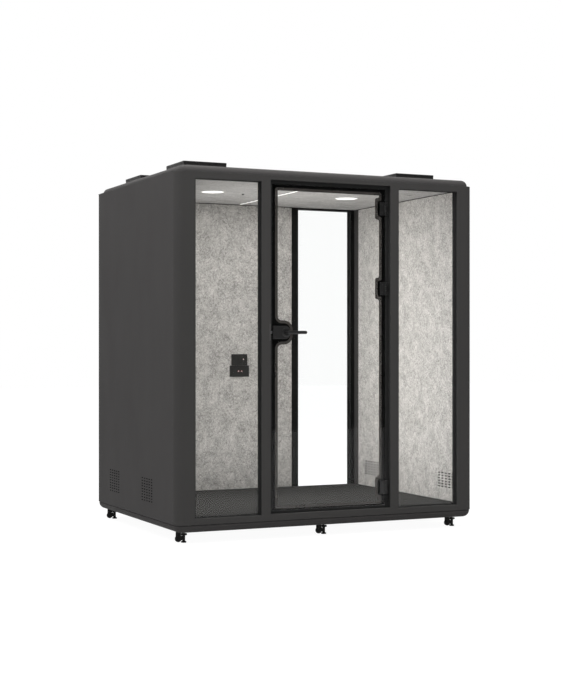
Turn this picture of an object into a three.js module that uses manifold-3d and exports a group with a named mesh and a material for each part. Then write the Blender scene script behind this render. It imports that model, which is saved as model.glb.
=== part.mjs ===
// Acoustic office pod: a steel, felt and glass cabin on six levelling casters.
// Millimetres, +Z up, glazed front towards -Y, floor at z = 0.
import * as THREE from 'three';
import { mergeVertices } from 'three/addons/utils/BufferGeometryUtils.js';
import Module from 'manifold-3d';

const wasm = await Module();
wasm.setup();

// Overall size and fits
const podWidth = 2050;
const podDepth = 1530;
const podHeight = 2300;
const fit = 0.3; // gap between pieces that seat on each other
const turnFit = 0.5; // gap round a pin that turns
const skin = 2; // sheet steel of walls, roof and boxes
const past = 1; // how far a cut runs past the face it opens

// Levels
const casterHeight = 66; // floor to the underside of the base
const baseHeight = 44;
const seamHeight = 4; // shadow groove between base and walls
const sillHeight = 35;
const headHeight = 38;
const doorSillHeight = 39;
const doorHeadHeight = 24;
const deckRise = 45; // carpet above the foot of the walls
const ceilingDrop = 28; // ceiling underside below the top of the walls
const roofHeight = 40;
const roofBoxHeight = 54;

// Frames and walls
const frameDepth = 60;
const cornerRadius = 50;
const postWidth = 119;
const mullionWidth = 61;
const doorOpening = 829;
const wallThickness = 90;
const frontFlange = 18;
const rearFlange = 68;
const feltThickness = 24;
const feltProud = 2;
const rearFeltProud = 20;
const rearPanelDepth = 40;
const rearPanelSetback = 6;

// Base and roof
const basePlate = 3;
const baseInset = 6;
const baseEdgeRadius = 38;
const plinthInset = 12;
const platformHeight = 20;
const platformShelf = 40;
const roofInset = 25;
const roofCornerRadius = 46;
const roofEdgeRadius = 40;
const ceilingThickness = 25;

// Glass and door
const glassThickness = 10;
const glassBite = 12; // depth of the glazing channel
const glassSetback = 26;
const jambWidth = 20;
const jambSetback = 27;
const thresholdHeight = 6;
const doorGap = 3;
const stopWidth = 12;
const stopThickness = 8;
const sealGap = 0.5;

// Lock, lever and latch
const lockLength = 113;
const lockHeight = 80;
const lockCornerRadius = 28;
const lockFront = 10;
const lockBack = 8;
const lockCoreLength = 101;
const lockCoreHeight = 56;
const handleHeight = 1097; // lever above the carpet
const handleInset = 88; // lever axis from the door's edge
const roseRadius = 28;
const roseThickness = 6;
const spindleRadius = 5;
const neckRadius = 9;
const leverLength = 125;
const leverHeight = 20;
const leverThickness = 12;
const leverStandoff = 39; // glass to the back of the lever
const latchLength = 50;
const latchThrow = 10;
const latchHeight = 16;
const latchThickness = 8;
const strikeClearance = 2;

// Hinges
const hingeHeight = 82;
const hingeLeaf = 40;
const hingeThickness = 4;
const hingeInset = 121; // hinge centre from the door's ends
const middleHingeDrop = 503; // middle hinge below the upper one
const knuckleRadius = 6;
const pinRadius = 2.5;

// Air slots in the walls and the ceiling
const slotLength = 28;
const slotHeight = 8;
const slotPitch = 43;
const slotRowPitch = 17;
const slotColumns = 5;
const wallSlotRows = 9;
const wallSlotCentres = [-252, 383];
const wallSlotLevel = 168; // middle of the slots above the foot of the walls
const ceilingSlotLength = 36;
const ceilingSlotRows = 3;

// Lights and wall plates
const downlightRadius = 80;
const downlightBody = 73;
const downlightBezel = 4;
const downlightSpread = 490;
const downlightForward = 20;
const stripWidth = 14;
const stripMargin = 45; // ends of the light strip from the frames
const switchWidth = 119;
const switchHeight = 80;
const socketWidth = 146;
const socketHeight = 80;
const plateThickness = 10;
const plateEdge = 2;
const socketLevel = 836.5; // middle of the socket panel above the carpet
const keyWidth = 46;
const keyHeight = 60;
const keyTravel = 1.5;
const keyPocket = 7;
const portWidth = 15;
const portHeight = 8;
const portPitch = 26;
const portDepth = 4;

// Roof boxes and fans
const roofBoxWidth = 285;
const roofBoxDepth = 305;
const roofBoxRadius = 6;
const roofBoxSpread = 740;
const roofBoxFront = 403; // front face to the middle of the front boxes
const roofBoxRear = 339;
const ductRadius = 74;
const fanRadius = 68;
const fanHub = 22;
const fanHeight = 16;
const fanBlades = 5;
const bladeThickness = 2;
const bladePitch = 0.6;
const fanPin = 5;
const fanPinHead = 9;
const pinHeadHeight = 4;
const fanClearance = 8; // fan above the roof

// Levelling casters
const casterInsetX = 90;
const casterInsetY = 112;
const casterColumns = 3;
const wheelRadius = 20;
const wheelWidth = 18;
const wheelLift = 4; // wheel above the floor while the pod stands on its pads
const wheelTrail = 35;
const axleRadius = 3;
const cheekThickness = 3;
const cheekGap = 1;
const cheekWidth = 24;
const hoodThickness = 4;
const hoodRadius = 22;
const neckFlange = 15;
const casterNeck = 11;
const padRadius = 13;
const padRim = 5;
const padHeight = 12;
const sleeveRadius = 9; // thick lower part of the foot's stem
const stemRadius = 5;
const stemTop = 80;
const dialRadius = 20;
const dialBottom = 47;
const dialThickness = 7;

// Facets of round pieces
const smallSides = 8;
const roundSides = 12;
const largeSides = 16;
const cornerSteps = 3; // half the facets of a quarter round
const edgeSteps = 3;
const fineSteps = 1;
const slotEndSteps = 0.5;

// Places worked out from the sizes
const halfWidth = podWidth / 2;
const frontFace = -podDepth / 2;
const rearFace = podDepth / 2;
const frontInner = frontFace + frameDepth;
const rearInner = rearFace - frameDepth;
const wallInner = halfWidth - wallThickness;
const doorHalf = doorOpening / 2;
const windowInner = doorHalf + mullionWidth;
const windowOuter = halfWidth - postWidth;
const baseTop = casterHeight + baseHeight;
const wallBottom = baseTop + seamHeight;
const roofTop = podHeight - roofBoxHeight;
const wallTop = roofTop - roofHeight;
const windowBottom = wallBottom + sillHeight;
const windowTop = wallTop - headHeight;
const bayBottom = wallBottom + doorSillHeight;
const bayTop = wallTop - doorHeadHeight;
const deckTop = wallBottom + deckRise;
const platformTop = wallBottom + platformHeight;
const ceilingBottom = wallTop - ceilingDrop;
const rearFeltFace = rearInner - rearFeltProud;
const jambFace = frontFace + jambSetback;
const doorBack = jambFace + glassThickness;
const doorRight = doorHalf - jambWidth - doorGap;
const doorLeft = -doorRight;
const doorBottom = bayBottom + thresholdHeight + doorGap;
const doorTop = bayTop - jambWidth - doorGap;
const handleX = doorLeft + handleInset;
const handleZ = deckTop + handleHeight;
const hingeX = doorRight + doorGap / 2;
const hingeY = jambFace - fit - knuckleRadius;
const leverFront = jambFace - leverStandoff - leverThickness;
const leverReach = Math.max(0, frontFace - leverFront);
const wheelZ = wheelRadius + wheelLift;

// Finishes
const finish = (color, roughness, metalness, more = {}) =>
  new THREE.MeshStandardMaterial({ color, roughness, metalness, ...more });
const anthracite = finish(0x434142, 0.5, 0.3);
const blackPaint = finish(0x262424, 0.6, 0.2);
const satinBlack = finish(0x1c1c1c, 0.4, 0.6);
const greyFelt = finish(0xa8a5a1, 0.95, 0);
const carpet = finish(0x464543, 1, 0);
const whiteLens = finish(0xf8f6f0, 0.3, 0);
const blackPlastic = finish(0x232322, 0.45, 0);
const greyRubber = finish(0x2b2b2b, 0.8, 0);
const zincSteel = finish(0x8e9092, 0.35, 0.9);
const clearGlass = finish(0xdfe8e6, 0.05, 0, { transparent: true, opacity: 0.25 });

const pod = new THREE.Group();
const body = new THREE.Group();
body.position.y = leverReach / 2; // keeps the middle at the origin although the lever stands proud
pod.add(body);

function addPiece(name, geometry, material, parent = body) {
  const mesh = new THREE.Mesh(geometry, material);
  mesh.name = name;
  parent.add(mesh);
  return mesh;
}

// Joining and cutting
function solidOf(geometry) {
  const bare = geometry.clone();
  bare.deleteAttribute('normal');
  bare.deleteAttribute('uv');
  const welded = mergeVertices(bare, 1e-4);
  const corners = welded.index.array;
  const faces = [];
  for (let i = 0; i < corners.length; i += 3) {
    const [a, b, c] = [corners[i], corners[i + 1], corners[i + 2]];
    if (a !== b && b !== c && c !== a) faces.push(a, b, c);
  }
  const vertProperties = Float32Array.from(welded.attributes.position.array);
  return new wasm.Manifold(new wasm.Mesh({ numProp: 3, vertProperties, triVerts: Uint32Array.from(faces) }));
}

function geometryOf(solid) {
  const mesh = solid.getMesh();
  const geometry = new THREE.BufferGeometry();
  geometry.setAttribute('position', new THREE.BufferAttribute(mesh.vertProperties, 3));
  geometry.setIndex(new THREE.BufferAttribute(mesh.triVerts, 1));
  geometry.computeVertexNormals();
  return geometry;
}

function cut(geometry, ...tools) {
  return geometryOf(tools.reduce((solid, tool) => solid.subtract(solidOf(tool)), solidOf(geometry)));
}

function join(geometry, ...others) {
  return geometryOf(others.reduce((solid, other) => solid.add(solidOf(other)), solidOf(geometry)));
}

// Forms
function block([x0, x1], [y0, y1], [z0, z1]) {
  const box = new THREE.BoxGeometry(x1 - x0, y1 - y0, z1 - z0);
  return box.translate((x0 + x1) / 2, (y0 + y1) / 2, (z0 + z1) / 2);
}

function span(middle, length) {
  return [middle - length / 2, middle + length / 2];
}

function inward([low, high], gap) {
  return [low + gap, high - gap];
}

function roundedRect([x0, x1], [y0, y1], radii) {
  const [lowerLeft, lowerRight, upperRight, upperLeft] = Array.isArray(radii) ? radii : Array(4).fill(radii);
  const shape = new THREE.Shape();
  shape.moveTo(x0 + lowerLeft, y0);
  shape.lineTo(x1 - lowerRight, y0);
  if (lowerRight) shape.absarc(x1 - lowerRight, y0 + lowerRight, lowerRight, -Math.PI / 2, 0);
  shape.lineTo(x1, y1 - upperRight);
  if (upperRight) shape.absarc(x1 - upperRight, y1 - upperRight, upperRight, 0, Math.PI / 2);
  shape.lineTo(x0 + upperLeft, y1);
  if (upperLeft) shape.absarc(x0 + upperLeft, y1 - upperLeft, upperLeft, Math.PI / 2, Math.PI);
  shape.lineTo(x0, y0 + lowerLeft);
  if (lowerLeft) shape.absarc(x0 + lowerLeft, y0 + lowerLeft, lowerLeft, Math.PI, Math.PI * 1.5);
  return shape;
}

function withHole(shape, hole) {
  shape.holes.push(hole);
  return shape;
}

function circle(x, y, radius) {
  return new THREE.Shape().absarc(x, y, radius, 0, Math.PI * 2);
}

function extrudeZ(shape, [z0, z1], curveSegments = cornerSteps) {
  const options = { depth: z1 - z0, bevelEnabled: false, curveSegments };
  return new THREE.ExtrudeGeometry(shape, options).translate(0, 0, z0);
}

// A shape drawn in X and Z, carried along Y
function extrudeY(shape, [y0, y1], curveSegments = cornerSteps) {
  const turned = new THREE.Matrix4().makeBasis(
    new THREE.Vector3(1, 0, 0), new THREE.Vector3(0, 0, 1), new THREE.Vector3(0, -1, 0));
  return extrudeZ(shape, [0, y1 - y0], curveSegments).applyMatrix4(turned).translate(0, y1, 0);
}

// A shape drawn in Y and Z, carried along X
function extrudeX(shape, [x0, x1], curveSegments = cornerSteps) {
  const upright = new THREE.Matrix4().makeBasis(
    new THREE.Vector3(0, 1, 0), new THREE.Vector3(0, 0, 1), new THREE.Vector3(1, 0, 0));
  return extrudeZ(shape, [0, x1 - x0], curveSegments).applyMatrix4(upright).translate(x0, 0, 0);
}

// A slab whose whole edge is rounded at both faces
function pillow(shape, [z0, z1], radius, bevelSegments = edgeSteps, curveSegments = cornerSteps) {
  const options = {
    depth: z1 - z0 - 2 * radius, bevelThickness: radius, bevelSize: radius, bevelOffset: -radius,
    bevelSegments, curveSegments,
  };
  return new THREE.ExtrudeGeometry(shape, options).translate(0, 0, z0 + radius);
}

// A profile of [radius, height] pairs turned about Z
function turned(profile, sides) {
  const points = profile.map(([radius, height]) => new THREE.Vector2(radius, height));
  return new THREE.LatheGeometry(points, sides).rotateX(Math.PI / 2);
}

// A tube about Z
function sleeve(inner, outer, [z0, z1], sides) {
  return turned([[inner, z0], [outer, z0], [outer, z1], [inner, z1], [inner, z0]], sides);
}

function rod(radius, [z0, z1], sides) {
  return turned([[0, z0], [radius, z0], [radius, z1], [0, z1]], sides);
}

function rodAlongY(radius, [y0, y1], sides) {
  return rod(radius, [0, y1 - y0], sides).rotateX(Math.PI / 2).translate(0, y1, 0);
}

// Base: a rounded tray with a rim for the walls and a raised platform for the floor panel
function baseTray() {
  const tall = [casterHeight, baseTop + 2 * baseHeight];
  const edge = Math.min(baseEdgeRadius, cornerRadius - baseInset - basePlate - 2);
  const trayShell = (inset, bottom, radius, edgeRadius) => pillow(
    roundedRect(inward([-halfWidth, halfWidth], inset), inward([frontFace, rearFace], inset), radius),
    [bottom, tall[1]], edgeRadius);
  const above = (level) => block([-podWidth, podWidth], [-podDepth, podDepth], [level, podHeight]);
  const outside = cut(trayShell(baseInset, casterHeight, cornerRadius - baseInset, edge), above(baseTop));
  const hollow = cut(
    trayShell(
      baseInset + basePlate, casterHeight + basePlate, cornerRadius - baseInset - basePlate, edge - past),
    above(baseTop - basePlate));
  const plinth = extrudeZ(
    roundedRect(
      inward([-halfWidth, halfWidth], plinthInset), inward([frontFace, rearFace], plinthInset),
      cornerRadius - plinthInset),
    [baseTop, wallBottom]);
  const inner = [inward([-wallInner, wallInner], fit), inward([frontInner, rearInner], fit)];
  const platform = block(...inner, [wallBottom, platformTop]);
  const within = (gap) => inner.map((range) => inward(range, gap));
  const under = block(...within(basePlate), [baseTop - 2 * basePlate, platformTop - basePlate]);
  const hatch = block(...within(platformShelf), [baseTop, platformTop + past]);
  const plate = inward([casterHeight, casterHeight + basePlate], -past);
  const swivelHole = rod(casterNeck + turnFit, plate, roundSides);
  const swivelHoles = casterPlaces().map(({ x, y }) => swivelHole.clone().translate(x, y, 0));
  return cut(join(cut(outside, hollow), plinth, platform), under, hatch, ...swivelHoles);
}

function casterPlaces() {
  const reach = halfWidth - casterInsetX;
  const places = [];
  for (const [rowName, y] of [['front', frontFace + casterInsetY], ['rear', rearFace - casterInsetY]]) {
    ['left', 'middle', 'right'].forEach((columnName, column) => {
      const x = -reach + (column * 2 * reach) / (casterColumns - 1);
      places.push({ name: `${rowName}_${columnName}`, x, y });
    });
  }
  return places;
}

// Side walls: folded cassettes, open to the felt, with round-ended air slots through the outer skin
function wallCassette(side) {
  const along = inward([frontInner, rearInner], fit);
  const up = [wallBottom, wallTop];
  const depths = (inner, outer) => (side > 0 ? [inner, outer] : [-outer, -inner]);
  const cassette = block(depths(wallInner, halfWidth), along, up);
  const hollow = block(depths(wallInner + skin, halfWidth - skin), inward(along, skin), inward(up, skin));
  const felt = [along[0] + frontFlange, along[1] - rearFlange];
  const window = block(depths(wallInner - past, wallInner + 2 * skin), felt, inward(up, skin));
  const skinDepth = depths(halfWidth - 2 * skin, halfWidth + past);
  const slots = wallSlotPlaces().map(([y, z]) => extrudeX(
    roundedRect(span(y, slotLength), span(z, slotHeight), slotHeight / 2), skinDepth, slotEndSteps));
  return cut(cassette, hollow, window, ...slots);
}

function wallSlotPlaces() {
  const places = [];
  for (const centre of wallSlotCentres) {
    for (let column = 0; column < slotColumns; column += 1) {
      for (let row = 0; row < wallSlotRows; row += 1) {
        places.push([
          centre + (column - (slotColumns - 1) / 2) * slotPitch,
          wallBottom + wallSlotLevel + (row - (wallSlotRows - 1) / 2) * slotRowPitch,
        ]);
      }
    }
  }
  return places;
}

function wallFelt(side) {
  const face = wallInner - feltProud;
  const across = side > 0 ? [face, face + feltThickness] : [-face - feltThickness, -face];
  const along = [frontInner + fit + frontFlange + fit, rearInner - fit - rearFlange - fit];
  return block(across, along, inward([deckTop, ceilingBottom], fit));
}

// Front and rear frames: two rounded corner posts, two mullions, head and sill, with glazing channels
function glazedFrame() {
  const strip = roundedRect(
    [-halfWidth, halfWidth], [frontFace, frontInner], [cornerRadius, cornerRadius, 0, 0]);
  const through = [frontFace - 1, frontInner + 1];
  const channel = [frontFace + glassSetback, frontFace + glassSetback + glassThickness + 2 * fit];
  const openings = [block([-doorHalf, doorHalf], through, [bayBottom, bayTop])];
  for (const across of [[-windowOuter, -windowInner], [windowInner, windowOuter]]) {
    openings.push(block(across, through, [windowBottom, windowTop]));
    openings.push(block(inward(across, -glassBite), channel, inward([windowBottom, windowTop], -glassBite)));
  }
  return cut(extrudeZ(strip, [wallBottom, wallTop]), ...openings);
}

function windowGlass() {
  const width = windowOuter - windowInner + 2 * (glassBite - fit);
  const height = windowTop - windowBottom + 2 * (glassBite - fit);
  return new THREE.BoxGeometry(width, glassThickness, height);
}

// Rear centre: a steel pan in the middle bay with felt on its cabin side
function rearPan() {
  const across = inward([-doorHalf, doorHalf], fit);
  const up = inward([bayBottom, bayTop], fit);
  const back = rearFace - rearPanelSetback;
  const pan = block(across, [back - rearPanelDepth, back], up);
  return cut(pan, block(inward(across, skin), [back - rearPanelDepth - 1, back - skin], inward(up, skin)));
}

function rearFelt() {
  const across = inward([-doorHalf, doorHalf], fit);
  const back = rearFace - rearPanelSetback - rearPanelDepth - fit;
  return block(across, [rearFeltFace, back], inward([deckTop, ceilingBottom], fit));
}

// Door jamb: a slim liner with a stop lip behind the door and a strike recess, open to the front
function doorJamb() {
  const outer = [inward([-doorHalf, doorHalf], fit), inward([bayBottom, bayTop], fit)];
  const clearX = inward([-doorHalf, doorHalf], jambWidth);
  const clearZ = [bayBottom + thresholdHeight, bayTop - jambWidth];
  const liner = withHole(roundedRect(...outer, 0), roundedRect(clearX, clearZ, 0));
  const lip = withHole(
    roundedRect(...outer, 0), roundedRect(inward(clearX, stopWidth), [clearZ[0], clearZ[1] - stopWidth], 0));
  const lipFront = doorBack + sealGap;
  const strike = block(
    [clearX[0] - latchThrow + doorGap - strikeClearance, clearX[0] + 1],
    [jambFace - 1, lipFront - sealGap / 2], span(handleZ, latchHeight + 2 * strikeClearance));
  const ring = join(
    extrudeY(liner, [jambFace, frontInner]), extrudeY(lip, [lipFront, lipFront + stopThickness]));
  return cut(ring, strike);
}

// Door glass, notched at its free edge for the lock
function doorGlass() {
  const outline = roundedRect([doorLeft, doorRight], [doorBottom, doorTop], stopThickness / 2);
  const notch = extrudeY(lockCore(doorLeft - 1, 0), [jambFace - 1, doorBack + 1]);
  return cut(extrudeY(outline, [jambFace, doorBack]), notch);
}

function lockCore(start, gap) {
  const radius = lockCoreHeight / 4;
  const across = [start, doorLeft + lockCoreLength - gap];
  return roundedRect(across, inward(span(handleZ, lockCoreHeight), gap), [0, radius, radius, 0]);
}

// Lock case: two covers on a core that fills the notch, bored for the spindle and the latch
function lockCase() {
  const cover = (x0) => roundedRect(
    [x0, doorLeft + lockLength], span(handleZ, lockHeight), [fit, lockCornerRadius, lockCornerRadius, fit]);
  const front = extrudeY(cover(doorLeft), [jambFace - fit - lockFront, jambFace - fit]);
  const back = extrudeY(cover(doorLeft + stopWidth), [doorBack + fit, doorBack + fit + lockBack]);
  const core = extrudeY(lockCore(doorLeft, fit), [jambFace - 2 * fit, doorBack]);
  const bridge = extrudeY(lockCore(doorLeft + stopWidth, fit), [doorBack - 1, doorBack + 2 * fit]);
  const roseFront = jambFace - fit - lockFront - roseThickness;
  const rose = rodAlongY(roseRadius, [roseFront, jambFace - lockFront], largeSides)
    .translate(handleX, 0, handleZ);
  const bore = rodAlongY(spindleRadius + turnFit, [leverFront, frontInner + podDepth / 4], roundSides)
    .translate(handleX, 0, handleZ);
  const track = block(
    [doorLeft - past, doorLeft + latchLength + strikeClearance],
    span((jambFace + doorBack) / 2, latchThickness + 2 * fit), span(handleZ, latchHeight + 2 * fit));
  return cut(join(front, core, bridge, back, rose), bore, track);
}

function latchBolt() {
  const across = [doorLeft - latchThrow, doorLeft - latchThrow + latchLength];
  return block(across, span((jambFace + doorBack) / 2, latchThickness), span(handleZ, latchHeight));
}

// A lever: neck and flat grip with a round tip, drawn from its axis towards +X; grip runs over [y0, y1]
function leverGrip([y0, y1], [neck0, neck1]) {
  const half = leverHeight / 2;
  const edge = leverThickness / 4;
  const outline = roundedRect([-half, leverLength], [-half, half], half);
  const grip = pillow(outline, [0, y1 - y0], edge, fineSteps, cornerSteps)
    .applyMatrix4(new THREE.Matrix4().makeBasis(
      new THREE.Vector3(1, 0, 0), new THREE.Vector3(0, 0, 1), new THREE.Vector3(0, -1, 0)))
    .translate(0, y1, 0);
  return join(grip, rodAlongY(neckRadius, [neck0, neck1], roundSides));
}

function outerLever() {
  const grip = [leverFront, leverFront + leverThickness];
  const neckEnd = jambFace - 2 * fit - lockFront - roseThickness;
  const lever = leverGrip(grip, [grip[0] + leverThickness / 2, neckEnd]);
  const spindle = rodAlongY(spindleRadius, [grip[1] - 1, spindleEnd()], smallSides);
  return join(lever, spindle).translate(handleX, 0, handleZ);
}

function spindleEnd() {
  return doorBack + lockBack + leverStandoff / 2;
}

function innerLever() {
  const grip = [doorBack + leverStandoff, doorBack + leverStandoff + leverThickness];
  const seat = doorBack + lockBack + 2 * fit;
  const lever = leverGrip(grip, [seat, grip[1] - leverThickness / 2]);
  const socket = rodAlongY(spindleRadius + fit, [seat - 1, spindleEnd() + fit], smallSides);
  return cut(lever, socket).translate(handleX, 0, handleZ);
}

// Hinges: a frame leaf with two knuckles and the pin, and a door leaf with the middle knuckle
function hingeThirds() {
  const third = hingeHeight / 3;
  return [[-1.5 * third, -0.5 * third], [-0.5 * third, 0.5 * third], [0.5 * third, 1.5 * third]];
}

function frameLeaf() {
  const [low, , high] = hingeThirds();
  const plate = [knuckleRadius - hingeThickness, knuckleRadius];
  const clear = knuckleRadius + 2 * fit;
  const leafEnd = doorHalf - fit - hingeX;
  const leaf = block([clear, leafEnd], plate, [low[0], high[1]]);
  const webs = [low, high].map((third) => block([pinRadius, clear + 1], plate, inward(third, fit)));
  const knuckles = [low, high].map((third) => rod(knuckleRadius, inward(third, fit), roundSides));
  const pin = rod(pinRadius, inward([low[0], high[1]], 1), smallSides);
  return join(leaf, ...webs, ...knuckles, pin);
}

function doorLeaf() {
  const [low, middle, high] = hingeThirds();
  const plate = [knuckleRadius - hingeThickness, knuckleRadius];
  const clear = knuckleRadius + 2 * fit;
  const leaf = block([-hingeLeaf, -clear], plate, [low[0], high[1]]);
  const web = block([-clear - 1, -pinRadius], plate, inward(middle, fit));
  const knuckle = rod(knuckleRadius, inward(middle, fit), roundSides);
  const bore = rod(pinRadius + turnFit, [low[0], high[1]], roundSides);
  return cut(join(leaf, web, knuckle), bore);
}

// Roof: a rounded cap, open below, with a duct hole under each roof box
function roofShell() {
  const edge = Math.min(roofEdgeRadius, roofHeight, roofCornerRadius - skin - 2);
  const across = inward([-halfWidth, halfWidth], roofInset);
  const along = [frontFace, rearFace - roofInset];
  const cap = (gap, top, radius, edgeRadius) => pillow(
    roundedRect(inward(across, gap), inward(along, gap), radius), [wallTop - 2 * roofHeight, top], edgeRadius);
  const below = block([-podWidth, podWidth], [-podDepth, podDepth], [0, wallTop]);
  const duct = rod(ductRadius, [wallTop, roofTop + past], largeSides);
  const ducts = boxPlaces().map(({ x, y }) => duct.clone().translate(x, y, 0));
  const hollow = cap(skin, roofTop - skin, roofCornerRadius - skin, edge - skin);
  return cut(cap(0, roofTop, roofCornerRadius, edge), below, hollow, ...ducts);
}

function boxPlaces() {
  const places = [];
  const rows = [['front', frontFace + roofBoxFront], ['rear', rearFace - roofBoxRear]];
  for (const [rowName, y] of rows) {
    for (const [side, sideName] of [[-1, 'left'], [1, 'right']]) {
      places.push({ name: `${rowName}_${sideName}`, x: side * roofBoxSpread, y });
    }
  }
  return places;
}

// Ceiling: a panel with lamp holes, a long slot for the light strip and air slots under the roof boxes
function ceilingPanel() {
  const panel = roundedRect(inward([-wallInner, wallInner], fit), inward([frontInner, rearInner], fit), 0);
  for (const x of [-downlightSpread, downlightSpread]) {
    withHole(panel, circle(x, -downlightForward, downlightBody + fit));
  }
  withHole(panel, roundedRect(inward(span(0, stripWidth), -fit), inward(stripRun(), -fit), 0));
  for (const { x, y } of boxPlaces()) {
    for (let row = 0; row < ceilingSlotRows; row += 1) {
      const slotY = y + (row - (ceilingSlotRows - 1) / 2) * slotRowPitch;
      withHole(panel, roundedRect(span(x, ceilingSlotLength), span(slotY, slotHeight), 0));
    }
  }
  return extrudeZ(panel, [ceilingBottom, ceilingBottom + ceilingThickness], largeSides / 2);
}

function stripRun() {
  return [frontInner + stripMargin, rearFeltFace - stripMargin / 2];
}

function downlight() {
  const rim = ceilingBottom - fit;
  return turned([
    [0, rim - downlightBezel / 2], [downlightBody, rim - downlightBezel / 2],
    [downlightBody, rim - downlightBezel], [downlightRadius, rim - downlightBezel / 2],
    [downlightRadius, rim], [downlightBody, rim],
    [downlightBody, ceilingBottom + ceilingThickness / 2], [0, ceilingBottom + ceilingThickness / 2],
  ], largeSides);
}

function lightStrip() {
  return block(span(0, stripWidth), stripRun(), [ceilingBottom + 1, ceilingBottom + ceilingThickness / 2]);
}

// Wall plates on the rear felt
function wallPlate(width, height) {
  const outline = roundedRect(span(0, width), span(0, height), 2 * plateEdge);
  const plate = pillow(outline, [0, plateThickness + plateEdge], plateEdge, fineSteps, fineSteps);
  const back = block(span(0, 2 * width), span(0, 2 * height), [-plateEdge, plateEdge]);
  return cut(plate, back).translate(0, 0, -plateEdge).rotateX(Math.PI / 2);
}

function switchPanel() {
  const depth = [-plateThickness - past, keyPocket - plateThickness];
  const pocket = block(inward(span(0, keyWidth), -fit), depth, inward(span(0, keyHeight), -fit));
  return cut(wallPlate(switchWidth, switchHeight), pocket);
}

function lightKey() {
  const face = -plateThickness - keyTravel;
  const back = -plateThickness + keyPocket - keyTravel - fit;
  return block(span(0, keyWidth), [face, back], span(0, keyHeight));
}

function socketPanel() {
  const depth = [-plateThickness - past, portDepth - plateThickness];
  const ports = [-1, 1].map((side) => block(span(side * portPitch / 2, portWidth), depth, span(0, portHeight)));
  return cut(wallPlate(socketWidth, socketHeight), ...ports);
}

// Roof box: an open-bottomed cover with the fan's pin hanging from its lid
function roofBox() {
  const [floor, lid] = [roofTop + fit, podHeight];
  const plan = (gap) => roundedRect(
    inward(span(0, roofBoxWidth), gap), inward(span(0, roofBoxDepth), gap), roofBoxRadius - gap);
  const hollow = extrudeZ(plan(skin), [floor - past, lid - skin], fineSteps);
  const shell = cut(extrudeZ(plan(0), [floor, lid], fineSteps), hollow);
  const fanBottom = roofTop + fanClearance;
  const pin = rod(fanPin, [fanBottom - pinHeadHeight, lid - skin / 2], smallSides);
  const head = rod(fanPinHead, [fanBottom - pinHeadHeight, fanBottom], smallSides);
  return join(shell, pin, head);
}

function fanRotor() {
  const bottom = roofTop + fanClearance + fit;
  const hub = sleeve(fanPin + turnFit, fanHub, [bottom, bottom + fanHeight], roundSides);
  const reach = fanRadius - fanHub / 2 - fanPin;
  const blade = new THREE.BoxGeometry(reach, bladeThickness, fanHeight)
    .rotateX(bladePitch).translate(fanRadius - reach / 2, 0, bottom + fanHeight / 2);
  const blades = Array.from(
    { length: fanBlades }, (_, index) => blade.clone().rotateZ((index * 2 * Math.PI) / fanBlades));
  return join(hub, ...blades);
}

// Levelling caster, drawn about its swivel axis
function casterFork() {
  const hoodTop = casterHeight - fit;
  const hood = [hoodTop - hoodThickness, hoodTop];
  const halfFork = wheelWidth / 2 + cheekGap + cheekThickness;
  const plate = extrudeZ(circle(0, 0, hoodRadius), hood, roundSides / 2);
  const arm = block([-wheelTrail - cheekWidth / 2, 0], [-halfFork, halfFork], hood);
  const cheekOutline = new THREE.Shape();
  cheekOutline.moveTo(-wheelTrail - cheekWidth / 2, hood[1]);
  cheekOutline.lineTo(-wheelTrail - cheekWidth / 2, wheelZ);
  cheekOutline.absarc(-wheelTrail, wheelZ, cheekWidth / 2, Math.PI, 2 * Math.PI);
  cheekOutline.lineTo(-wheelTrail + cheekWidth / 2, hood[1]);
  const cheeks = [-1, 1].map((side) => {
    const faces = [side * halfFork, side * (halfFork - cheekThickness)].sort((a, b) => a - b);
    return extrudeY(cheekOutline, faces);
  });
  const axle = rodAlongY(axleRadius, inward([-halfFork, halfFork], past), smallSides)
    .translate(-wheelTrail, 0, wheelZ);
  const neckTop = casterHeight + basePlate + fit;
  const neck = rod(casterNeck, [hoodTop - 1, neckTop + 1], smallSides);
  const retainer = rod(neckFlange, [neckTop, neckTop + basePlate], smallSides);
  const bore = rod(stemRadius + fit, [0, casterHeight + baseHeight], roundSides);
  return cut(join(plate, arm, ...cheeks, axle, neck, retainer), bore);
}

function casterWheel() {
  const half = wheelWidth / 2;
  const crown = wheelWidth / 6;
  const bore = axleRadius + turnFit;
  return turned([
    [bore, -half], [wheelRadius - crown, -half], [wheelRadius, -half + crown], [wheelRadius, half - crown],
    [wheelRadius - crown, half], [bore, half], [bore, -half],
  ], roundSides).rotateX(Math.PI / 2).translate(-wheelTrail, 0, wheelZ);
}

function levellingFoot() {
  return turned([
    [0, 0], [padRadius, 0], [padRadius, padRim], [sleeveRadius, padHeight],
    [sleeveRadius, dialBottom], [dialRadius, dialBottom], [dialRadius, dialBottom + dialThickness],
    [stemRadius, dialBottom + dialThickness], [stemRadius, stemTop], [0, stemTop],
  ], roundSides);
}

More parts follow.
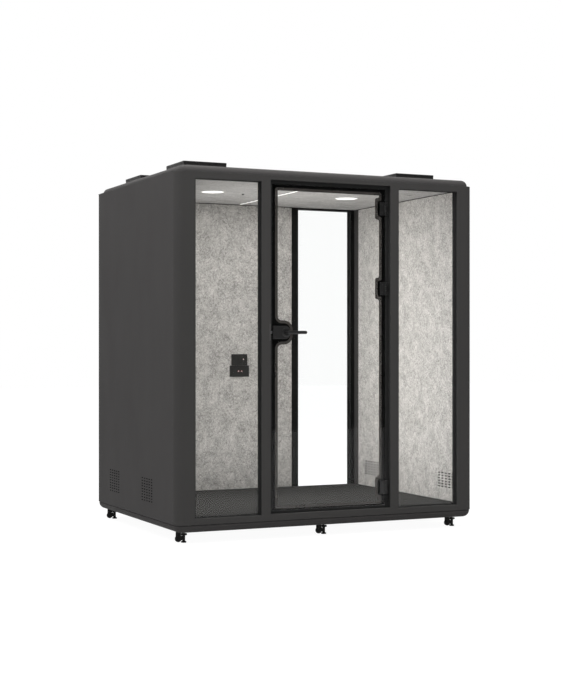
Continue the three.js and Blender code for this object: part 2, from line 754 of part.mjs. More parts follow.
// Shell
addPiece('base_tray', baseTray(), anthracite);
const cabin = [inward([-wallInner, wallInner], fit), inward([frontInner, rearInner], fit)];
addPiece('floor_panel', block(...cabin, [platformTop + fit, deckTop]), carpet);
for (const [side, name] of [[-1, 'left'], [1, 'right']]) {
  addPiece(`${name}_wall`, wallCassette(side), anthracite);
  addPiece(`${name}_wall_felt`, wallFelt(side), greyFelt);
}
const frameGeometry = glazedFrame();
addPiece('front_frame', frameGeometry, anthracite);
addPiece('rear_frame', frameGeometry, anthracite).rotation.z = Math.PI;
const glassGeometry = windowGlass();
const glassOut = podDepth / 2 - glassSetback - fit - glassThickness / 2;
for (const [wallName, y] of [['front', -glassOut], ['rear', glassOut]]) {
  for (const [side, name] of [[-1, 'left'], [1, 'right']]) {
    addPiece(`${wallName}_${name}_glass`, glassGeometry, clearGlass)
      .position.set(side * (windowInner + windowOuter) / 2, y, (windowBottom + windowTop) / 2);
  }
}
addPiece('rear_center_panel', rearPan(), anthracite);
addPiece('rear_center_felt', rearFelt(), greyFelt);
addPiece('door_jamb', doorJamb(), blackPaint);
addPiece('roof_shell', roofShell(), anthracite);
addPiece('ceiling_panel', ceilingPanel(), greyFelt);
for (const [side, name] of [[-1, 'left'], [1, 'right']]) {
  addPiece(`${name}_downlight`, downlight(), whiteLens)
    .position.set(side * downlightSpread, -downlightForward, 0);
}
addPiece('light_strip', lightStrip(), whiteLens);

const plates = new THREE.Group();
plates.position.set(0, rearFeltFace - fit, deckTop + socketLevel);
body.add(plates);
addPiece('socket_panel', socketPanel(), blackPlastic, plates);
const switchRise = (socketHeight + switchHeight) / 2 + fit;
addPiece('switch_panel', switchPanel(), blackPlastic, plates).position.z = switchRise;
addPiece('light_key', lightKey(), blackPlastic, plates).position.z = switchRise;

for (const { name, x, y } of boxPlaces()) {
  const place = new THREE.Group();
  place.position.set(x, y, 0);
  body.add(place);
  addPiece(`${name}_roof_box`, roofBox(), blackPaint, place);
  addPiece(`${name}_fan`, fanRotor(), blackPlastic, place);
}

// Door, with its hinges and lock
addPiece('door_glass', doorGlass(), clearGlass);
const upperHinge = doorTop - hingeInset;
for (const [name, z] of [
  ['upper', upperHinge], ['middle', upperHinge - middleHingeDrop], ['lower', doorBottom + hingeInset]]) {
  const place = new THREE.Group();
  place.position.set(hingeX, hingeY, z);
  body.add(place);
  addPiece(`${name}_frame_hinge`, frameLeaf(), satinBlack, place);
  addPiece(`${name}_door_hinge`, doorLeaf(), satinBlack, place);
}
addPiece('lock_case', lockCase(), satinBlack);
addPiece('latch_bolt', latchBolt(), zincSteel);
addPiece('outer_lever', outerLever(), satinBlack);
addPiece('inner_lever', innerLever(), satinBlack);

// Levelling casters
for (const { name, x, y } of casterPlaces()) {
  const place = new THREE.Group();
  place.position.set(x, y, 0);
  body.add(place);
  addPiece(`${name}_caster_fork`, casterFork(), blackPaint, place);
  addPiece(`${name}_caster_wheel`, casterWheel(), greyRubber, place);
  addPiece(`${name}_levelling_foot`, levellingFoot(), blackPaint, place);
}

export default pod;
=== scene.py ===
import math
import bmesh
import bpy
import numpy as np
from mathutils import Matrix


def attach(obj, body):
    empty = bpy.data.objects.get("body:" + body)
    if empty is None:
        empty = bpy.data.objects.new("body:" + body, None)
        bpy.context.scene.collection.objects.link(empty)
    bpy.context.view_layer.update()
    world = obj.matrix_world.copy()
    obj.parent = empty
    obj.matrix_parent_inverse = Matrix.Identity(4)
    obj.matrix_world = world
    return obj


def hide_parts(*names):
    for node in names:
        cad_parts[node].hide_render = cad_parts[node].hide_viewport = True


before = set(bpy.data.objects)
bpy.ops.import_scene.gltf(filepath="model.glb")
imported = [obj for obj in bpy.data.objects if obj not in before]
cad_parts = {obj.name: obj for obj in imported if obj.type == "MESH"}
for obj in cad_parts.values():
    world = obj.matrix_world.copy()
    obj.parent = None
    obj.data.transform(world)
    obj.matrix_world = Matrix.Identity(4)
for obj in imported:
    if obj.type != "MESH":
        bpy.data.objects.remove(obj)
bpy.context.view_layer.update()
print("frame loaded:", len(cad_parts), "nodes")

# Shapes are worked out in millimetres on the pod's own drawing: front face at y -765, floor at z 0.
pod = dict(scale=0.001, back=12.0)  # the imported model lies 12 mm further back than the drawing
meshing = dict(merge=2e-6, bevelSteps=2, bevelAngle=40)
hands = dict(left=-1, right=1)
turnedTo = {  # where a shape drawn as (across, up, out) is laid
    "front": np.array([[1, 0, 0], [0, 0, -1], [0, 1, 0]]),
    "rear": np.array([[-1, 0, 0], [0, 0, 1], [0, 1, 0]]),
    "right": np.array([[0, 0, 1], [1, 0, 0], [0, 1, 0]]),
    "left": np.array([[0, 0, -1], [-1, 0, 0], [0, 1, 0]]),
    "up": np.eye(3),
    "down": np.array([[1, 0, 0], [0, -1, 0], [0, 0, -1]]),
}


def laid(form, side="up", at=(0, 0, 0)):
    # each point turns to the named side and then moves by at
    points, faces = form
    return points @ turnedTo[side].T + np.array(at, float), faces


def together(*forms):
    points, faces, first = [], [], 0
    for formPoints, formFaces in forms:
        points.append(formPoints)
        faces += [[corner + first for corner in face] for face in formFaces]
        first += len(formPoints)
    return np.concatenate(points), faces


def middled(centre, size):
    return centre - size / 2, centre + size / 2


def carried(rings, closeRows=False):
    # closed rings of points, one row each, joined row to row; open ends get a flat cap
    rows, columns = rings.shape[:2]
    r, c = np.meshgrid(np.arange(rows if closeRows else rows - 1), np.arange(columns), indexing="ij")
    r2, c2 = (r + 1) % rows, (c + 1) % columns
    quads = np.stack([r * columns + c, r * columns + c2, r2 * columns + c2, r2 * columns + c], -1)
    faces = quads.reshape(-1, 4).tolist()
    if not closeRows:
        faces.append(list(range(columns))[::-1])
        faces.append(list(range((rows - 1) * columns, rows * columns)))
    return rings.reshape(-1, 3).astype(float), faces


def roundedOutline(across, up, corner, inset, steps=8):
    # four quarter circles: corner centre plus radius times (cos t, sin t); every inset shrinks the radius
    radii = np.broadcast_to(np.array(corner, float), 4)
    inset = np.atleast_1d(np.array(inset, float))[:, None, None]
    starts = np.arange(4) * math.pi / 2 + math.pi
    t = np.linspace(0, math.pi / 2, steps + 1)[None, None, :] + starts[None, :, None]
    r = np.maximum(radii[None, :, None] - inset, 0.02)
    xSide, ySide = np.array([0, 1, 1, 0]), np.array([0, 0, 1, 1])
    cx = np.array(across)[xSide][None, :, None] + (1 - 2 * xSide)[None, :, None] * (inset + r)
    cy = np.array(up)[ySide][None, :, None] + (1 - 2 * ySide)[None, :, None] * (inset + r)
    return np.stack([cx + r * np.cos(t), cy + r * np.sin(t)], -1).reshape(len(inset), -1, 2)


def raised(loops, heights):
    # flat outlines, each lifted to its own height
    return np.concatenate([loops, np.broadcast_to(heights[:, None, None], loops.shape[:2] + (1,))], -1)


def stack(across, up, corner, levels, steps=8, closeRows=False):
    # a profile of (inset, height) pairs carried round a rounded rectangle
    levels = np.array(levels, float)
    if not closeRows:  # one more ring inside each flat end keeps the shading of the cap flat
        ends = levels[[0, -1]] + np.array([0.8, 0])
        levels = np.concatenate([ends[:1], levels, ends[1:]])
    return carried(raised(roundedOutline(across, up, corner, levels[:, 0], steps), levels[:, 1]), closeRows)


def quarter(radius, steps=4):
    # inset and rise of a round edge: radius times one minus sin t, and one minus cos t
    t = np.linspace(0, math.pi / 2, steps + 1)
    return radius * (1 - np.sin(t)), radius * (1 - np.cos(t))


def slab(across, up, out, corner=2.0, edge=1.0, steps=6, edgeSteps=3, backEdge=None):
    # a flat block whose front and back edges follow a quarter circle
    inset, rise = quarter(edge, edgeSteps)
    backInset, backRise = quarter(edge if backEdge is None else backEdge, edgeSteps)
    levels = list(zip(backInset, out[0] + backRise)) + list(zip(inset[::-1], out[1] - rise[::-1]))
    return stack(across, up, corner, levels, steps)


def board(*sizes, side="front"):
    return laid(slab(*sizes), side)


def turned(profile, sides=48, ripple=0.0, count=1, closed=False):
    # (radius, height, share) rows turned about the height axis; ripple times share times cos(count t) swells
    # the radius, and a closed profile runs round a bore
    profile = np.array(profile, float)
    t = np.linspace(0, 2 * math.pi, sides, endpoint=False)
    r = np.maximum(profile[:, :1], 0.001) * np.ones_like(t)[None, :]
    if ripple:
        r = r + ripple * np.cos(count * t)[None, :] * profile[:, 2:3]
    rings = np.stack([r * np.cos(t), r * np.sin(t), np.broadcast_to(profile[:, 1:2], r.shape)], -1)
    return carried(rings, closed)


def swept(path, side, across, thick, sides, power):
    # a superellipse of half sizes across and thick, set square to the path at each of its points
    along = np.gradient(path, axis=0)
    along /= np.linalg.norm(along, axis=1, keepdims=True)
    other = np.cross(along, side[None, :])
    t = np.linspace(0, 2 * math.pi, sides, endpoint=False)
    c, s = (np.sign(v) * np.abs(v) ** (2 / power) for v in (np.cos(t), np.sin(t)))
    a, b = across[:, None, None] * c[None, :, None], thick[:, None, None] * s[None, :, None]
    return carried(path[:, None, :] + a * side[None, None, :] + b * other[:, None, :])


def openCells(columns, rows, holes):
    # true for each cell of a grid whose middle lies in no hole (left, right, low, high)
    c, r = (columns[1:] + columns[:-1]) / 2, (rows[1:] + rows[:-1]) / 2
    keep = np.ones((len(r), len(c)), bool)
    for x0, x1, y0, y1 in holes:
        keep &= ~(((c > x0) & (c < x1))[None, :] & ((r > y0) & (r < y1))[:, None])
    return keep


def pierced(columns, rows, keep, front, back):
    # a grid at two heights, front and back, whose kept cells are joined by walls along every open edge
    x, y = np.meshgrid(columns, rows)
    points = [np.stack([x, y, np.broadcast_to(h, x.shape)], -1).reshape(-1, 3) for h in (front, back)]
    count = x.size
    index = np.arange(count).reshape(x.shape)
    quad = np.stack([index[:-1, :-1], index[:-1, 1:], index[1:, 1:], index[1:, :-1]], -1)
    faces = quad[keep].tolist() + (quad[keep][:, ::-1] + count).tolist()
    padded = np.pad(keep, 1)
    for a, b, here, beyond in ((index[:, :-1], index[:, 1:], padded[1:, 1:-1], padded[:-1, 1:-1]),
            (index[:-1, :], index[1:, :], padded[1:-1, :-1], padded[1:-1, 1:]),):
        for p, q, edge in ((a, b, here & ~beyond), (b, a, beyond & ~here)):
            faces += np.stack([p[edge], p[edge] + count, q[edge] + count, q[edge]], -1).tolist()
    return np.concatenate(points), faces


def piercedPanel(across, up, out, holes):
    # a flat panel: its grid lines are the panel's own edges and the edges of all holes
    columns = np.unique(np.array([*across] + [v for h in holes for v in h[:2]], float).round(4))
    rows = np.unique(np.array([*up] + [v for h in holes for v in h[2:]], float).round(4))
    return pierced(columns, rows, openCells(columns, rows, holes), out[1], out[0])


def piece(name, form, finish, nodes=(), body="shell", bevel=0.0, sharp=38):
    points, faces = form
    points = points * pod["scale"] + np.array([0, pod["back"] * pod["scale"], 0])
    mesh = bpy.data.meshes.new(name)
    mesh.from_pydata(points.tolist(), [], faces)
    work = bmesh.new()
    work.from_mesh(mesh)
    bmesh.ops.remove_doubles(work, verts=work.verts, dist=meshing["merge"])
    bmesh.ops.delete(work, geom=[v for v in work.verts if not v.link_faces], context="VERTS")
    bmesh.ops.recalc_face_normals(work, faces=work.faces)
    work.to_mesh(mesh)
    work.free()
    mesh.shade_smooth()
    mesh.set_sharp_from_angle(angle=math.radians(sharp))
    mesh.materials.append(finish)
    made = bpy.data.objects.new(name, mesh)
    bpy.context.scene.collection.objects.link(made)
    if bevel:
        rounding = made.modifiers.new("edges", "BEVEL")
        rounding.width, rounding.segments = bevel * pod["scale"], meshing["bevelSteps"]
        rounding.limit_method, rounding.angle_limit = "ANGLE", math.radians(meshing["bevelAngle"])
        rounding.harden_normals = True
    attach(made, body)
    if nodes:
        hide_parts(*nodes)
    return made


# Nodes of the finishes
def link(tree, value, socket):
    # an output is linked; a number or colour is set, and one number is a grey on a colour socket
    if isinstance(value, bpy.types.NodeSocket):
        tree.links.new(value, socket)
    elif socket.type in ("RGBA", "VECTOR"):
        value = value if isinstance(value, tuple) else (value,) * 3
        socket.default_value = (*value, 1.0)[:len(socket.default_value)]
    else:
        socket.default_value = value


def feed(tree, node, **values):
    # sockets by name, where _ stands for a space; any other name is a setting of the node
    for key, value in values.items():
        socket = node.inputs.get(key.replace("_", " "))
        if socket:
            link(tree, value, socket)
        else:
            setattr(node, key, value)
    return node


def add(tree, kind, **values):
    return feed(tree, tree.nodes.new("ShaderNode" + kind), **values)


def math2(tree, operation, a, b):
    node = add(tree, "Math", operation=operation)
    link(tree, a, node.inputs[0])
    link(tree, b, node.inputs[1])
    return node.outputs[0]


def product(tree, total, *others):
    for other in others:
        total = math2(tree, "MULTIPLY", total, other)
    return total


def weighted(tree, *terms):
    # the sum of each value times its share
    parts = [math2(tree, "MULTIPLY", value, share) for value, share in terms]
    total = parts[0]
    for part in parts[1:]:
        total = math2(tree, "ADD", total, part)
    return total


def spread(tree, value, low, high, newLow=0.0, newHigh=1.0):
    node = add(tree, "MapRange")
    for socket, number in zip(node.inputs, (value, low, high, newLow, newHigh)):
        link(tree, number, socket)
    return node.outputs[0]


def noiseAt(tree, place, scale, detail=3.0, rough=0.5, curl=0.0):
    node = add(tree, "TexNoise", Vector=place, Scale=scale, Detail=detail, Roughness=rough, Distortion=curl)
    return node.outputs["Fac"]


def blend(tree, factor, a, b):
    node = add(tree, "Mix", data_type="RGBA", Factor=factor)
    link(tree, a, node.inputs[6])
    link(tree, b, node.inputs[7])
    return node.outputs[2]


def mixed(tree, factor, a, b, output):
    # two shaders by a factor, into the output
    node = add(tree, "MixShader")
    for value, socket in zip((factor, a.outputs[0], b.outputs[0]), node.inputs):
        link(tree, value, socket)
    feed(tree, output, Surface=node.outputs[0])


def seenRay(tree):
    # one for what the camera sees, straight on, mirrored or through glass
    ray = add(tree, "LightPath").outputs
    seen = math2(tree, "MAXIMUM", ray["Is Camera Ray"], ray["Is Glossy Ray"])
    return math2(tree, "MAXIMUM", seen, ray["Is Transmission Ray"])


# Effects shared by the finishes
def newGroup(name, inputs, outputs):
    group = bpy.data.node_groups.new(name, "ShaderNodeTree")
    for label, value in inputs.items():
        socket = group.interface.new_socket(name=label, in_out="INPUT", socket_type="NodeSocketFloat")
        socket.default_value = value
    for label in outputs:
        group.interface.new_socket(name=label, in_out="OUTPUT", socket_type="NodeSocketFloat")
    given, made = group.nodes.new("NodeGroupInput").outputs, group.nodes.new("NodeGroupOutput")
    return group, given, made, add(group, "TexCoord").outputs["Object"]


def coatGrainGroup():
    # powder coat: fine orange peel, faint wiped smudges in the gloss and a slow drift in tone
    group, given, made, place = newGroup("coatGrain", {"Grain": 900.0, "Smudge": 5.0},
        ("Height", "Gloss", "Tone"))
    peel = noiseAt(group, place, given["Grain"], 2.0, 0.6)
    upright = add(group, "Mapping", Vector=place, Scale=(1, 1, 0.45)).outputs[0]
    smudge = noiseAt(group, upright, given["Smudge"], 5.0, 0.62)
    drift = noiseAt(group, place, 1.3, 2.0)
    feed(group, made, Height=peel, Gloss=spread(group, smudge, 0.25, 0.8),
        Tone=weighted(group, (drift, 0.7), (peel, 0.3)))
    return group


def edgeWearGroup():
    # rubbed edges: where a rounded normal leaves the true one, broken up by a coarse noise
    group, given, made, place = newGroup("edgeWear", {"Radius": 0.004, "Amount": 1.0}, ("Mask",))
    soft = add(group, "Bevel", samples=4, Radius=given["Radius"])
    dot = add(group, "VectorMath", operation="DOT_PRODUCT")
    link(group, soft.outputs[0], dot.inputs[0])
    link(group, add(group, "NewGeometry").outputs["Normal"], dot.inputs[1])
    turn = spread(group, dot.outputs["Value"], 0.99, 0.86)
    patch = spread(group, noiseAt(group, place, 38.0, 4.0, 0.65), 0.42, 0.66)
    feed(group, made, Mask=product(group, turn, patch, given["Amount"]))
    return group


def dustGroup():
    # settled dust: faces that look up, thicker in soft patches
    group, given, made, place = newGroup("dust", {"Amount": 0.3}, ("Mask",))
    facing = add(group, "SeparateXYZ", Vector=add(group, "NewGeometry").outputs["Normal"])
    upward = spread(group, facing.outputs["Z"], 0.55, 1.0)
    cloud = spread(group, noiseAt(group, place, 7.0, 6.0, 0.7), 0.3, 0.75, 0.25, 1.0)
    feed(group, made, Mask=product(group, upward, cloud, given["Amount"]))
    return group


def feltGroup():
    # needle felt: blotches drawn out along the lay, tangled fibres and sparse dark flecks
    group, given, made, place = newGroup("felt", {"Blotch": 9.0, "Fibre": 420.0, "Lay": 0.5, "Draw": 1.0},
        ("Tone", "Height", "Fleck"))
    lay = add(group, "CombineXYZ", X=given["Draw"], Y=1.0, Z=given["Lay"])
    drawn = add(group, "VectorMath", operation="MULTIPLY")
    link(group, place, drawn.inputs[0])
    link(group, lay.outputs[0], drawn.inputs[1])
    drawn = drawn.outputs["Vector"]
    blotch = noiseAt(group, drawn, given["Blotch"], 5.0, 0.6)
    marl = noiseAt(group, drawn, 100.0, 3.0, 0.62, 1.4)
    fibre = noiseAt(group, place, given["Fibre"], 3.0, 0.75)
    tone = weighted(group, (blotch, 0.22), (marl, 0.6), (fibre, 0.18))
    feed(group, made, Tone=spread(group, tone, 0.41, 0.59),
        Height=weighted(group, (fibre, 0.7), (marl, 0.3)),
        Fleck=spread(group, noiseAt(group, place, 210.0, 1.0), 0.66, 0.74))
    return group


coatGrain, edgeWear, dust, feltFibres = coatGrainGroup(), edgeWearGroup(), dustGroup(), feltGroup()
dustColour = (0.32, 0.31, 0.29)


def placed(tree, group, **values):
    node = tree.nodes.new("ShaderNodeGroup")
    node.node_tree = group
    return feed(tree, node, **values).outputs


def newFinish(name):
    made = bpy.data.materials.new(name)
    made.use_nodes = True
    tree = made.node_tree
    tree.nodes.clear()
    surface = add(tree, "BsdfPrincipled")
    return made, tree, surface, add(tree, "OutputMaterial", Surface=surface.outputs[0])


def bumped(tree, height, distance, strength=1.0):
    return add(tree, "Bump", Height=height, Distance=distance, Strength=strength).outputs[0]


def coat(name, low, high, worn, rough=(0.42, 0.58), grain=900.0, depth=0.00012, wear=0.5, dusty=0.12,
        metal=0.0, shine=0.5):
    made, tree, surface, _ = newFinish(name)
    skin = placed(tree, coatGrain, Grain=grain)
    colour = blend(tree, skin["Tone"], low, high)
    colour = blend(tree, placed(tree, edgeWear, Amount=wear)["Mask"], colour, worn)
    colour = blend(tree, placed(tree, dust, Amount=dusty)["Mask"], colour, dustColour)
    feed(tree, surface, Base_Color=colour, Roughness=spread(tree, skin["Gloss"], 0.0, 1.0, *rough),
        Metallic=metal, Specular_IOR_Level=shine, Normal=bumped(tree, skin["Height"], depth))
    return made


def felt(name, low, high, fleck, blotch=9.0, lay=0.5, draw=1.0, depth=0.0012, sheen=0.15, shine=0.15):
    made, tree, surface, _ = newFinish(name)
    wool = placed(tree, feltFibres, Blotch=blotch, Lay=lay, Draw=draw)
    colour = blend(tree, wool["Fleck"], blend(tree, wool["Tone"], low, high), fleck)
    feed(tree, surface, Base_Color=colour, Roughness=0.95, Specular_IOR_Level=shine, Sheen_Weight=sheen,
        Sheen_Roughness=0.6, Normal=bumped(tree, wool["Height"], depth, 0.7))
    return made


def clearSheet(name, tint):
    made, tree, surface, output = newFinish(name)
    smear = placed(tree, coatGrain, Grain=60.0, Smudge=3.0)  # wiped marks, far too faint to blur the view
    feed(tree, surface, Base_Color=tint, Transmission_Weight=1.0,
        IOR=1.19,  # low-glare coating: each face mirrors under one hundredth
        Roughness=spread(tree, smear["Gloss"], 0.0, 1.0, 0.0, 0.025))
    through = add(tree, "BsdfTransparent", Color=tuple(t ** 0.5 for t in tint))
    light = add(tree, "LightPath").outputs
    bare = math2(tree, "MAXIMUM", light["Is Shadow Ray"], light["Is Diffuse Ray"])
    mixed(tree, bare, surface, through, output)
    return made


def lit(name, colour, strength, low=0.92):
    made, tree, surface, _ = newFinish(name)
    haze = placed(tree, coatGrain, Grain=300.0, Smudge=9.0)
    glow = blend(tree, haze["Tone"], tuple(c * low for c in colour), colour)
    feed(tree, surface, Emission_Color=glow, Base_Color=glow, Emission_Strength=strength, Roughness=0.4)
    return made


def film(name, low, high, cover):
    # translucent band: a thin film of slightly uneven density
    made, tree, surface, _ = newFinish(name)
    cloud = placed(tree, coatGrain, Grain=400.0, Smudge=4.0)
    feed(tree, surface, Base_Color=blend(tree, cloud["Tone"], low, high), Roughness=0.35,
        Alpha=spread(tree, cloud["Gloss"], 0.0, 1.0, *cover))
    return made


mattPaint = dict(rough=(0.6, 0.7), dusty=0.06, shine=0.04)
anthracitePaint = coat("anthracitePaint", (0.05, 0.0478, 0.0474), (0.0585, 0.0562, 0.0556), 0.14,
    **mattPaint)
profilePaint = coat("profilePaint", (0.0495, 0.048, 0.047), (0.058, 0.0564, 0.0552), 0.14, **mattPaint)
# painted shade: besides the door jamb and the beads, this darker coat shades the upright sides of the front
# openings
jambCoatAndRevealShade = coat("jambCoatAndRevealShade", 0.022, 0.03, 0.1, (0.6, 0.7), dusty=0.06, shine=0.0)
blackPaint = coat("blackPaint", (0.014, 0.013, 0.013), (0.022, 0.021, 0.021), 0.08, (0.5, 0.66))
deepBlack = coat("deepBlack", (0.006, 0.006, 0.0058), (0.01, 0.01, 0.0096), 0.05, (0.5, 0.62), dusty=0.04,
    shine=0.15)
satinBlack = coat("satinBlack", 0.011, 0.017, 0.12, (0.28, 0.4), 1600.0, 0.00004, 0.6, 0.1)
blackPlastic = coat("blackPlastic", (0.013, 0.013, 0.012), (0.02, 0.02, 0.019), 0.05, (0.34, 0.48), 1500.0,
    0.00005, 0.2, 0.1)
nylonBlack = coat("nylonBlack", 0.008, 0.014, 0.06, (0.5, 0.7), 700.0, shine=0.2)
# also painted shadow: the dark strips on the wall tops and under the ceiling use this rubber
rubberSealAndShadeStrip = coat("rubberSealAndShadeStrip", 0.008, 0.013, 0.03, (0.6, 0.75), 500.0)
zincPlate = coat("zincPlate", (0.3, 0.31, 0.32), (0.44, 0.45, 0.46), 0.6, (0.3, 0.45), 1200.0, 0.00003, 0.5,
    0.15, 1.0)
printBlack = coat("printBlack", 0.002, 0.003, 0.003, (0.3, 0.36), 1800.0, 0.00001, 0.0, 0.0, shine=0.1)
# painted shade: near-black for the boards behind the vent slots
slotShadeBlack = coat("slotShadeBlack", 0.002, 0.003, 0.003, (0.8, 0.9), wear=0.0, dusty=0.0, shine=0.02)
rimPaint = coat("rimPaint", (0.62, 0.62, 0.61), (0.7, 0.7, 0.69), 0.75, (0.35, 0.45), dusty=0.0)
redGloss = coat("redGloss", (0.05, 0.008, 0.008), (0.08, 0.014, 0.012), (0.1, 0.02, 0.02), (0.3, 0.4),
    1500.0, 0.00002, 0, 0)
strikeSteel = coat("strikeSteel", (0.076, 0.074, 0.072), (0.088, 0.086, 0.084), 0.12, (0.55, 0.65), 1200.0,
    wear=0.2, dusty=0.06, shine=0.06)
greyFelt = felt("greyFelt", (0.24, 0.232, 0.222), (0.64, 0.624, 0.602), (0.19, 0.183, 0.176), 14.0, 0.85)
ceilingFelt = felt("ceilingFelt", (0.27, 0.262, 0.255), (0.56, 0.55, 0.54), (0.22, 0.21, 0.21), 30.0, 1.0,
    0.22, 0.0008)
darkCarpet = felt("darkCarpet", (0.024, 0.0235, 0.0225), (0.05, 0.049, 0.047), 0.015, 30.0, 1.0, 1.0,
    0.0011, 0.02, 0.0)
paneGlass = clearSheet("paneGlass", (0.994, 0.999, 0.997))
lampLens = lit("lampLens", (1.0, 0.985, 0.95), 1.15)
stripLens = lit("stripLens", (1.0, 0.99, 0.965), 1.15)
statusLight = lit("statusLight", (1.0, 0.78, 0.76), 0.9)
edgeBand = film("edgeBand", (0.03, 0.026, 0.023), (0.05, 0.043, 0.038), (0.78, 0.88))
print("finishes ready:", len(bpy.data.materials))

# CAD nodes that keep their shape
keptNodes = dict(left_wall=anthracitePaint, right_wall=anthracitePaint, rear_center_panel=anthracitePaint,
    door_jamb=jambCoatAndRevealShade, latch_bolt=zincPlate)
for place in (f"{row}_{hand}" for row in ("front", "rear") for hand in hands):
    keptNodes.update({f"{place}_glass": paneGlass, f"{place}_fan": blackPlastic})
for nodeName, finish in keptNodes.items():
    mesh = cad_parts[nodeName].data
    mesh.materials.clear()
    mesh.materials.append(finish)
print("kept nodes dressed:", len(keptNodes))

# Base: a quarter ellipse under the tray, then the shadow groove
base = dict(across=(-1021, 1021), along=(-761, 761), corner=47, edge=(46, 42), lip=1.5, bottom=66, top=110,
    groove=6, seam=114)


def baseForm(b):
    # the profile runs up the ellipse, in over the lip and up the groove, and is carried round the tray
    inset, rise = quarter(1.0, 10)
    lip, lipRise = quarter(b["lip"], 2)
    levels = list(zip(b["edge"][0] * inset, b["bottom"] + b["edge"][1] * rise))
    levels += list(zip(lip[::-1], b["top"] - lipRise[::-1]))
    levels += [(b["groove"], b["top"] - 0.2), (b["groove"], b["seam"])]
    return stack(b["across"], b["along"], b["corner"], levels, 12)


piece("baseTray", baseForm(base), anthracitePaint, ["base_tray"])

roof = dict(across=(-1000, 1000), along=(-765, 740), corner=46, edge=39.5, bottom=2206.0, top=2246)


def roofForm(r):
    # a full quarter round over a short upright edge, carried round the cap
    inset, rise = quarter(r["edge"], 10)
    levels = [(1.0, r["bottom"]), (0.0, r["bottom"] + 0.4)] + list(zip(inset[::-1], r["top"] - rise[::-1]))
    return stack(r["across"], r["along"], r["corner"], levels, 12)


piece("roofShell", roofForm(roof), anthracitePaint, ["roof_shell"])

# Roof boxes: folded covers with a lid line and four lid screws each
roofBox = dict(width=285, depth=305, bottom=2246.3, top=2300, lid=14, lidLine=0.6, under=0.8, core=2, x=740,
    rows=(-362, 426), edge=1.2, screw=(4.5, 2.2), screwIn=40, screwSunk=0.4)


def screwHead(radius, height):
    # a shallow dome with a round hollow, turned from a profile in shares of its radius and height
    profile = [(1, 0), (1, 0.35), (0.86, 0.8), (0.5, 1), (0.34, 1), (0.26, 0.45), (0, 0.45)]
    return turned([(radius * r, height * h) for r, h in profile], 20)


def roofBoxForm(b):
    # three slabs on one middle: the box, its lid a little wider, and a core that fills the line between them
    w, d, u, c = b["width"] / 2, b["depth"] / 2, b["under"], b["core"]
    lidLow = b["top"] - b["lid"]
    forms = [slab((-w + u, w - u), (-d + u, d - u), (b["bottom"], lidLow - b["lidLine"]), 5, b["edge"]),
        slab((-w, w), (-d, d), (lidLow, b["top"]), 6, b["edge"]),
        slab((-w + c, w - c), (-d + c, d - c), (b["bottom"] + c, b["top"] - 3), 4, 0.5)]
    forms += [laid(screwHead(*b["screw"]), hand,
        (sign * (w - b["screwSunk"]), s * (d - b["screwIn"]), b["top"] - b["lid"] / 2))
        for hand, sign in reversed(hands.items()) for s in (-1, 1)]
    return together(*forms)


for rowName, y in zip(("front", "rear"), roofBox["rows"]):
    for hand, sign in hands.items():
        piece(f"{rowName}{hand.title()}RoofBox",
            laid(roofBoxForm(roofBox), "up", (sign * roofBox["x"], y, 0)), blackPaint,
            [f"{rowName}_{hand}_roof_box"])
print("base and roof done")

roofShadeStrip = dict(side=(999.0, 1023.0), along=(-690, 738), up=(2206.2, 2209.8))  # painted shadow: a dark rubber strip on each wall top stands in for the shade line under the roof's edge
forms = [slab(sorted(s * x for x in roofShadeStrip["side"]), roofShadeStrip["along"], roofShadeStrip["up"], 0.5, 0.4, 2, 2)
    for s in (-1, 1)]
piece("roofShadeStrips", together(*forms), rubberSealAndShadeStrip)

# Frames: one pierced sheet bent round the corner posts, thickened to the inner face
glazing = dict(half=1025, face=765, inner=705, corner=50, bottom=114, top=2206, bay=(153, 2182),
    bayHalf=414.5, window=(149, 2168), windowX=(475.5, 906), glass=(728.7, 738.7), bevel=1.4)
panes = [sorted(s * x for x in glazing["windowX"]) for s in (-1, 1)]


def frameForm(g):
    # the face runs flat and follows a quarter circle round each corner post; door bay and panes are left open
    t = np.linspace(0, math.pi / 2, 11)
    arcX = -g["half"] + g["corner"] * (1 - np.cos(t))
    arcY = g["face"] - g["corner"] * (1 - np.sin(t))
    holes = [(*pane, *g["window"]) for pane in panes] + [(-g["bayHalf"], g["bayHalf"], *g["bay"])]
    middle = np.unique([x for hole in holes for x in hole[:2]])
    columns = np.concatenate([arcX, middle, -arcX[::-1]])
    depth = np.concatenate([arcY, np.full(len(middle), float(g["face"])), arcY[::-1]])
    rows = np.unique(np.array([g["bottom"], g["top"], *g["bay"], *g["window"]], float))
    return pierced(columns, rows, openCells(columns, rows, holes), depth, g["inner"])


opening = dict(half=0.95, up=(0.13, 2.2))  # metres: what lies within is a side of a pane or of the door bay


def cabinTrim(made, inner, revealShade, sign):
    # faces that look into the cabin take the black trim, and the upright sides of the openings a darker coat:
    # painted shade
    made.data.materials.append(inner)
    made.data.materials.append(revealShade)
    n, c = np.empty((2, len(made.data.polygons), 3), np.float32)
    made.data.polygons.foreach_get("normal", n.ravel())
    made.data.polygons.foreach_get("center", c.ravel())
    inOpening = (np.abs(n[:, 1]) < 0.1) & (np.abs(c[:, 0]) < opening["half"])
    inOpening &= (c[:, 2] > opening["up"][0]) & (c[:, 2] < opening["up"][1])
    upright = inOpening & (np.abs(n[:, 0]) > 0.9) & (sign > 0)
    inside = (n[:, 1] * sign > 0.5) | (inOpening & (sign < 0))
    made.data.polygons.foreach_set("material_index", np.where(upright, 2, inside).astype(np.int32))


# Glazing seals: a soft lip round each pane, outside and inside; beads cover it at both sides of a pane
seal = dict(wide=5.0, high=4.2, lip=1.2)
bead = dict(wide=11.0, thick=3.0, ends=0.5, lift=0.2)


